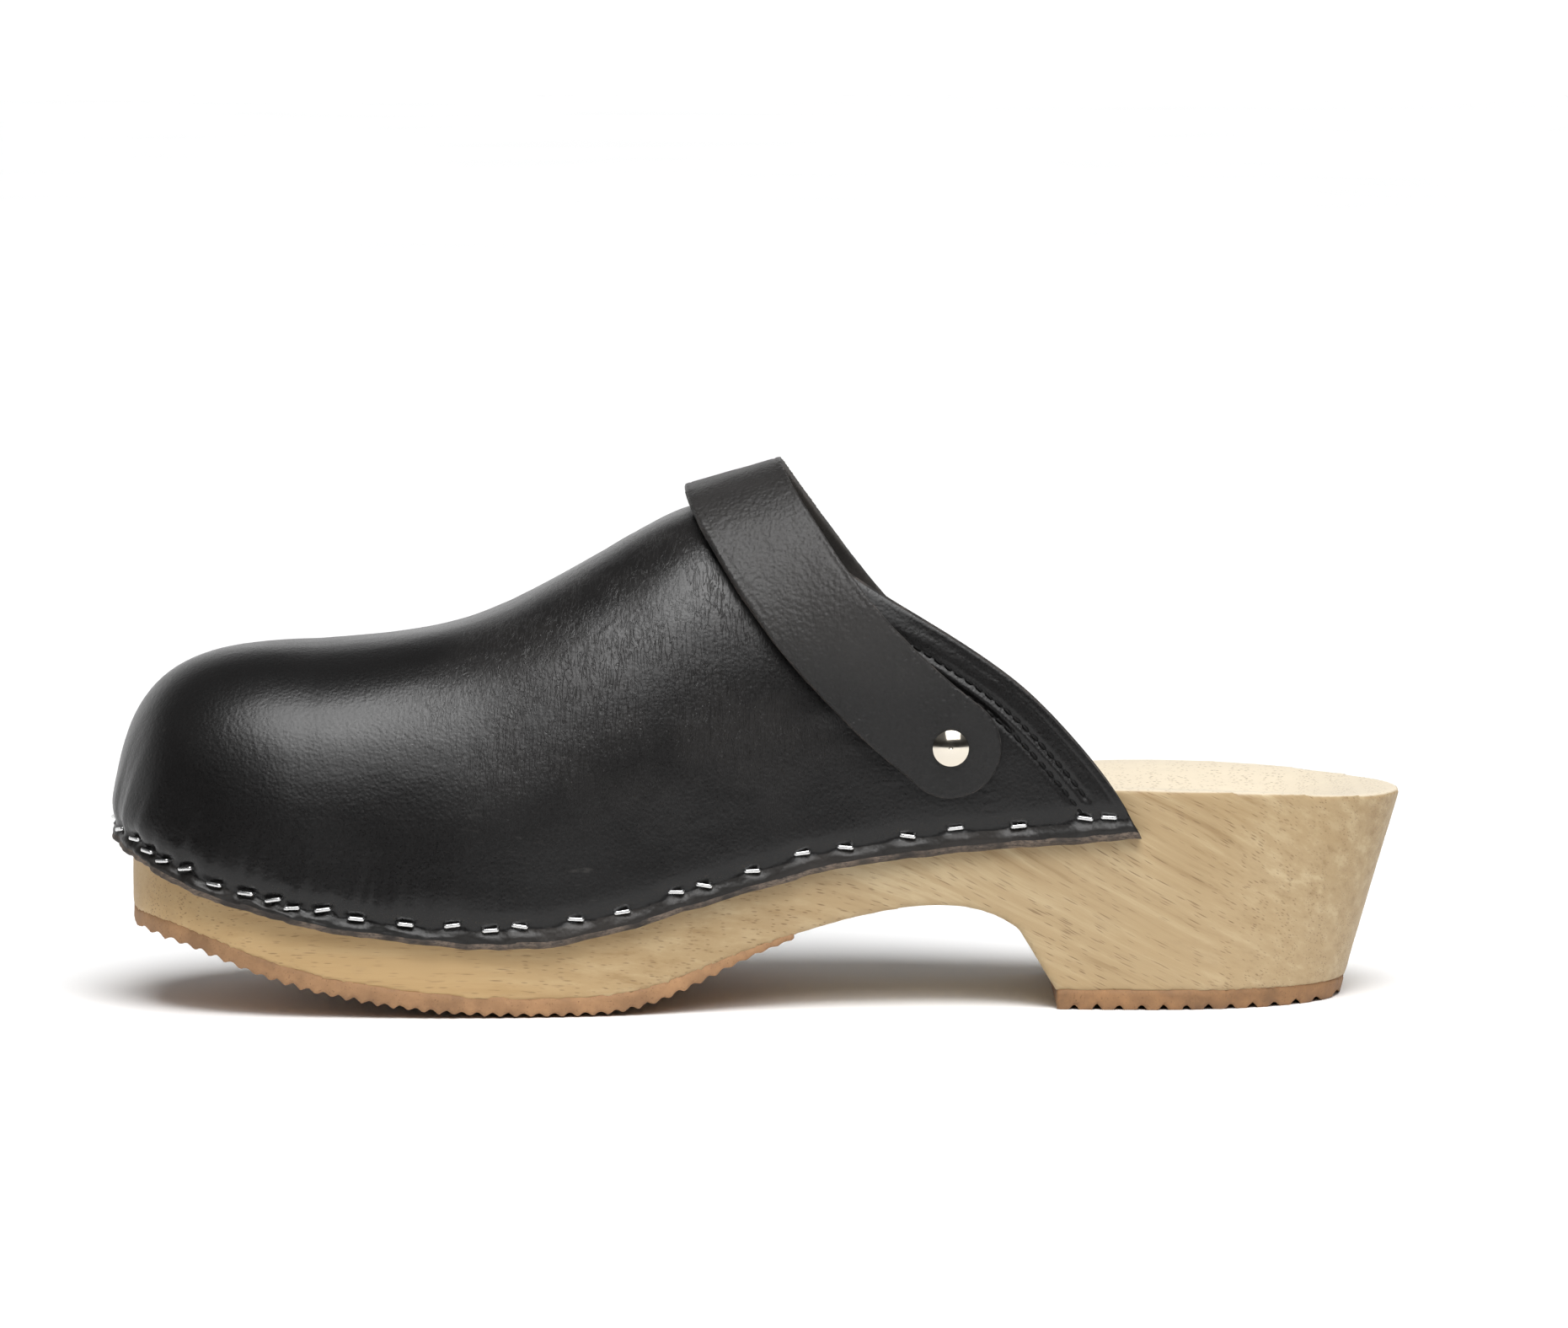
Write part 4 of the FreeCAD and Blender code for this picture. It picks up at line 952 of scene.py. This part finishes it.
# Along one stitch: share of its length, height over the leather, share of the thread's radius.
STITCH_PROFILE = (
    (-0.56, -0.00050, 0.55), (-0.50, -0.00020, 0.85), (-0.36, 0.00002, 1.0), (-0.15, 0.00010, 1.04),
    (0.15, 0.00010, 1.04), (0.36, 0.00002, 1.0), (0.50, -0.00020, 0.85), (0.56, -0.00050, 0.55),
)


def capsule_chain(stations, radius, ring):
    """Vertices and faces of a rounded cord through stations of (place, sideways, up, thickness)."""
    vertices, faces = [], []
    for place, sideways, up, thickness in stations:
        for k in range(ring):
            angle = 2 * math.pi * k / ring
            reach = radius * thickness
            vertices.append(place + (sideways * math.cos(angle) + up * math.sin(angle)) * reach)
    for i in range(len(stations) - 1):
        for k in range(ring):
            m = (k + 1) % ring
            faces.append((i * ring + k, i * ring + m, (i + 1) * ring + m, (i + 1) * ring + k))
    faces.append(tuple(range(ring - 1, -1, -1)))
    faces.append(tuple((len(stations) - 1) * ring + k for k in range(ring)))
    return vertices, faces


def seam_line(inset):
    """Places and normals on the finished leather at a fixed distance below the topline."""
    line, facing = [], []
    for i in range(COLUMNS):
        if abs(u_places[i]) >= SEAM_SPAN:
            continue
        depth = from_topline[i]
        below = np.nonzero(depth > inset)[0]
        j = below[-1]
        share = (depth[j] - inset) / max(depth[j] - depth[j + 1], 1e-9)
        line.append(mix(shaped[i, j], shaped[i, j + 1], share))
        facing.append(mix(normals[i, j], normals[i, j + 1], share))
    return np.array(line), np.array(facing)


def stitches(name, inset, node):
    """One seam of separate stitches, each dipping into its holes and a little out of line."""
    line, facing = seam_line(inset)
    lengths = run_lengths(line)

    def at(length):
        place = np.array([np.interp(length, lengths, line[:, k]) for k in range(3)])
        up = np.array([np.interp(length, lengths, facing[:, k]) for k in range(3)])
        return place, up / np.linalg.norm(up)

    vertices, faces = [], []
    count = int((lengths[-1] - STITCH_LENGTH) / STITCH_PITCH)
    for n in range(count):
        middle = STITCH_PITCH * (n + 0.5) + rng.normal(0, 0.00005)
        length = STITCH_LENGTH * rng.uniform(0.94, 1.05)
        sway = rng.normal(0, 0.00007)
        stations = []
        for share, lift, thickness in STITCH_PROFILE:
            here = middle + share * length
            place, up = at(here)
            ahead = at(here + 0.0003)[0] - at(here - 0.0003)[0]
            ahead /= np.linalg.norm(ahead)
            sideways = np.cross(ahead, up)
            place = place + up * lift + sideways * sway * share * 2
            stations.append((place, sideways, up, thickness))
        more, quads = capsule_chain(stations, THREAD_RADIUS, THREAD_RING)
        faces += [tuple(index + len(vertices) for index in quad) for quad in quads]
        vertices += more
    made = new_object(name, vertices, faces, [THREAD])
    consistent_normals(made)
    stands_for(made, node, "clog")


stitches("topline_stitches_outer", SEAM_OUTER, "topline_thread_outer")
stitches("topline_stitches_inner", SEAM_INNER, "topline_thread_inner")

# ---------------- instep strap

STRAP_TOP = -0.0048, 0.1019
STRAP_MIDDLE = 0.0124, 0.0716
TOP_TWIST = math.radians(13.0)
STRAP_WIDTH = 0.020
STRAP_THICKNESS = 0.0024
STRAP_INNER_HALF = 0.032
STRAP_END_RADIUS = strap_high.x - RIVET.x
TWIST_STARTS = 0.45
SIDE_GAP = 0.0006
FLAT_ARM_REACH = 0.028
SNUG_REACH = 0.050
CLIMB_CROWDING = 2.75
STRAP_VOXEL = 0.00042
BURNISHED_LINE = 0.0013
OUTER_FACE_TURN = 0.55


def strap_side_view(climb, across):
    """A place of the strap seen from the side; climb is 0 at the rivet and 1 at the top."""
    before = 1 - climb
    ends = (RIVET.x, RIVET.z), STRAP_TOP
    place = [
        before**2 * ends[0][k] + 2 * before * climb * STRAP_MIDDLE[k] + climb**2 * ends[1][k]
        for k in (0, 1)
    ]
    run = [
        before * (STRAP_MIDDLE[k] - ends[0][k]) + climb * (ends[1][k] - STRAP_MIDDLE[k])
        for k in (0, 1)
    ]
    lean = np.arctan2(run[1], run[0]) - math.pi / 2 - TOP_TWIST * blend(TWIST_STARTS, 1.0, climb)
    return place[0] + across * np.cos(lean), place[1] + across * np.sin(lean)


def strap_inner_face(place, across):
    """The strap's inner face for arrays of places, -1 to 1 over the top, and distances across."""
    side = np.where(place < 0, -1.0, 1.0)
    climb = 1 - np.abs(place) ** CLIMB_CROWDING
    x, z = strap_side_view(climb, across)
    top_x, top_z = strap_side_view(np.ones_like(climb), across)
    sections = Sections(np.stack([x, side * 0.001], axis=-1), side)
    sections.top = sections.top + top_z - RIDGE(top_x)
    sections.centre = np.stack([x, np.zeros_like(x)], axis=-1)
    sections.reach = half_width(x, side) + SIDE_GAP
    sections.ahead = np.stack([np.zeros_like(x), side], axis=-1)
    snug = np.abs(sections.point(sections.angle_at(z), 0.0)[..., 1])
    snug = np.where(z < sections.top, snug, 0.0)
    reach = np.hypot(x - RIVET.x, z - RIVET.z)
    flat = np.maximum(snug, STRAP_INNER_HALF)
    away = mix(flat, snug, blend(FLAT_ARM_REACH, SNUG_REACH, reach))
    return np.stack([x, side * away, z], axis=-1)


def rounded_copy(name, node, voxel, passes):
    """A copy of a CAD node with its edges softened."""
    made = frame["nodes"][node].data.copy()
    made.name = name
    piece = linked(name, made)
    remesh = piece.modifiers.new("remesh", "REMESH")
    remesh.mode = "VOXEL"
    remesh.voxel_size = voxel
    remesh.use_smooth_shade = True
    smooth = piece.modifiers.new("soften", "SMOOTH")
    smooth.factor = 0.5
    smooth.iterations = passes
    evaluated = piece.evaluated_get(bpy.context.evaluated_depsgraph_get())
    final = bpy.data.meshes.new_from_object(evaluated)
    piece.modifiers.clear()
    piece.data = final
    final.materials.clear()
    return piece


def vertex_arrays(piece):
    mesh = piece.data
    places = np.zeros(len(mesh.vertices) * 3)
    mesh.vertices.foreach_get("co", places)
    facing = np.zeros(len(mesh.vertices) * 3)
    mesh.vertices.foreach_get("normal", facing)
    return places.reshape(-1, 3), facing.reshape(-1, 3)


def move_vertices(piece, places):
    piece.data.vertices.foreach_set("co", places.reshape(-1))
    piece.data.update()


strap = rounded_copy("instep_strap_leather", "instep_strap", STRAP_VOXEL, passes=3)
grid_places = np.linspace(-1, 1, 321)
grid_across = np.linspace(-STRAP_WIDTH / 2, STRAP_WIDTH / 2, 33)
place_grid, across_grid = np.meshgrid(grid_places, grid_across, indexing="ij")
inner_face = strap_inner_face(place_grid, across_grid)
strap_facing = np.cross(np.gradient(inner_face, axis=0), np.gradient(inner_face, axis=1))
strap_facing /= np.maximum(np.linalg.norm(strap_facing, axis=-1), 1e-12)[..., None]
middle = np.array([0, 0, RIVET.z])
outwards = (inner_face - middle) * np.array([0, 1, 1])
strap_facing *= np.where(np.sum(strap_facing * outwards, axis=-1) < 0, -1, 1)[..., None]
mid_face = (inner_face + strap_facing * STRAP_THICKNESS / 2).reshape(-1, 3)
tree = nearest(mid_face)
strap_points, strap_normals = vertex_arrays(strap)
found = np.array([tree.find(p)[1] for p in strap_points])
across = across_grid.reshape(-1)[found]
outward = strap_facing.reshape(-1, 3)[found]
past = strap_points - np.array([RIVET.x, 0, RIVET.z])
away_x, away_z = RIVET.x - STRAP_MIDDLE[0], RIVET.z - STRAP_MIDDLE[1]
size = math.hypot(away_x, away_z)
beyond = (past[:, 0] * away_x + past[:, 2] * away_z) / size > 0
rim = np.where(
    beyond, STRAP_END_RADIUS - np.hypot(past[:, 0], past[:, 2]), STRAP_WIDTH / 2 - np.abs(across)
)
outer_side = np.sum(strap_normals * outward, axis=1) > 0.5
strap_offset = -0.00011 * bump(rim, BURNISHED_LINE, 0.00028) * outer_side
strap_offset += 0.00016 * rough(strap_points, size=0.013, seed=31.0)
strap_offset += 0.00006 * rough(strap_points, size=0.004, seed=37.0)
move_vertices(strap, strap_points + strap_normals * strap_offset[:, None])
mesh = strap.data
for material in (STRAP_GRAIN, FLESH, DARK_EDGE):
    mesh.materials.append(material)
face_facing = np.zeros(len(mesh.polygons) * 3)
mesh.polygons.foreach_get("normal", face_facing)
first_vertex = np.array([polygon.vertices[0] for polygon in mesh.polygons])
face_dot = np.sum(face_facing.reshape(-1, 3) * outward[first_vertex], axis=1)
faces_in = np.where(face_dot < -OUTER_FACE_TURN, FLESH_SLOT, EDGE_SLOT)
strap_slots = np.where(face_dot > OUTER_FACE_TURN, GRAIN_SLOT, faces_in)
mesh.polygons.foreach_set("material_index", strap_slots.astype(np.int32))
mesh.update()
stands_for(strap, "instep_strap", "strap")

# ---------------- sole

SOLE_VOXEL = 0.00080
TREAD_VOXEL = 0.00052
TREAD_SUNK = 0.0006

sole = rounded_copy("wooden_sole_body", "wooden_sole", SOLE_VOXEL, passes=2)
sole_points, sole_normals = vertex_arrays(sole)
hand_work = 0.00022 * rough(sole_points, size=0.030, seed=41.0)
hand_work += 0.00008 * rough(sole_points, size=0.009, seed=43.0)
fibre_points = sole_points * np.array([0.12, 1, 1])
hand_work += 0.00004 * rough(fibre_points, size=0.0016, seed=47.0)
move_vertices(sole, sole_points + sole_normals * hand_work[:, None])
sole.data.materials.append(WOOD)
stands_for(sole, "wooden_sole", "clog")

for name, node, material in (
    ("forepart_tread", "forepart_outsole", FORE_RUBBER),
    ("heel_tread", "heel_outsole", HEEL_RUBBER),
):
    tread = rounded_copy(name, node, TREAD_VOXEL, passes=1)
    points, facing = vertex_arrays(tread)
    wear = 0.00012 * rough(points, size=0.006, seed=53.0) + 0.00007 * rough(points, size=0.0016, seed=59.0)
    wear *= blend(0.0, 0.0012, points[:, 2])
    shaped_tread = points + facing * wear[:, None]
    shaped_tread[:, 2] += TREAD_SUNK * blend(0.15, 0.45, facing[:, 2])
    move_vertices(tread, shaped_tread)
    tread.data.materials.append(material)
    stands_for(tread, node, "clog")

# ---------------- rivets and hidden layers

for where in ("medial", "lateral"):
    paint(f"strap_rivet_cap_{where}", NICKEL)
    paint(f"strap_rivet_post_{where}", NICKEL)
paint("toe_puff", STIFFENER)
paint("topline_facing", TAPE)

# ---------------- stage, lights and camera


def floor_material():
    s = Shader("studio_floor")
    tone = s.noise(s.place(), 3.0, detail=2.0)
    s.set(Base_Color=s.mix(s.range(tone, 0.3, 0.7), colour(247, 247, 247), colour(250, 250, 250)))
    s.set(Roughness=0.9, Specular_IOR_Level=0.1)
    return s.material


floor = new_object(
    "floor", [(-6, -6, 0), (6, -6, 0), (6, 9, 0), (-6, 9, 0)], [(0, 1, 2, 3)], [floor_material()]
)

scene = bpy.context.scene
scene.view_settings.view_transform = "Standard"


def studio_world():
    """A white backdrop, dark overhead and towards the open front."""
    made = bpy.data.worlds.new("studio")
    made.use_nodes = True
    tree = made.node_tree
    tree.nodes.clear()
    coordinates = tree.nodes.new("ShaderNodeTexCoord")
    split = tree.nodes.new("ShaderNodeSeparateXYZ")
    tree.links.new(coordinates.outputs["Generated"], split.inputs[0])

    def ramp(source, low, high, to_low, to_high):
        node = tree.nodes.new("ShaderNodeMapRange")
        node.interpolation_type = "SMOOTHSTEP"
        tree.links.new(source, node.inputs["Value"])
        for key, value in zip(("From Min", "From Max", "To Min", "To Max"), (low, high, to_low, to_high)):
            node.inputs[key].default_value = value
        return node.outputs[0]

    horizon = ramp(split.outputs["Y"], -0.30, 0.55, 0.02, 1.08)
    overhead = ramp(split.outputs["Z"], 0.20, 0.60, 0.0, 1.0)
    level = tree.nodes.new("ShaderNodeMix")
    level.data_type = "FLOAT"
    tree.links.new(overhead, level.inputs["Factor"])
    tree.links.new(horizon, level.inputs["A"])
    level.inputs["B"].default_value = 0.12
    background = tree.nodes.new("ShaderNodeBackground")
    tree.links.new(level.outputs[0], background.inputs["Strength"])
    background.inputs["Color"].default_value = (1, 1, 1, 1)
    output = tree.nodes.new("ShaderNodeOutputWorld")
    tree.links.new(background.outputs[0], output.inputs["Surface"])
    return made


scene.world = studio_world()


def soft_light(name, place, target, size, power):
    light = bpy.data.lights.new(name, "AREA")
    light.shape = "RECTANGLE"
    light.size, light.size_y = size
    light.energy = power
    lamp = linked(name, light)
    lamp.location = place
    lamp.rotation_euler = (Vector(target) - Vector(place)).to_track_quat("-Z", "Y").to_euler()


def broad_sun(name, direction, strength, spread):
    light = bpy.data.lights.new(name, "SUN")
    light.energy = strength
    light.angle = math.radians(spread)
    linked(name, light).rotation_euler = Vector(direction).to_track_quat("-Z", "Y").to_euler()


VIEW_CENTRE = Vector((0.0049, 0.0, 0.0657))
CAMERA_DISTANCE = 1.6
CAMERA_TILT = math.radians(5.2)
CAMERA_LENS = 184

broad_sun("top_bank", direction=(-0.08, 0.44, -1.0), strength=3.1, spread=40)
soft_light(
    "front_softbox", place=(0.22, -0.92, 0.88), target=(0.0, 0, 0.06), size=(1.0, 0.60), power=6.8
)

camera_data = bpy.data.cameras.new("camera")
camera_data.lens = CAMERA_LENS
camera_data.sensor_width = 36
camera_data.clip_start = 0.05
camera = linked("camera", camera_data)
back_and_up = Vector((0, -math.cos(CAMERA_TILT), math.sin(CAMERA_TILT)))
camera.location = VIEW_CENTRE + back_and_up * CAMERA_DISTANCE
camera.rotation_euler = (VIEW_CENTRE - camera.location).to_track_quat("-Z", "Y").to_euler()
scene.camera = camera
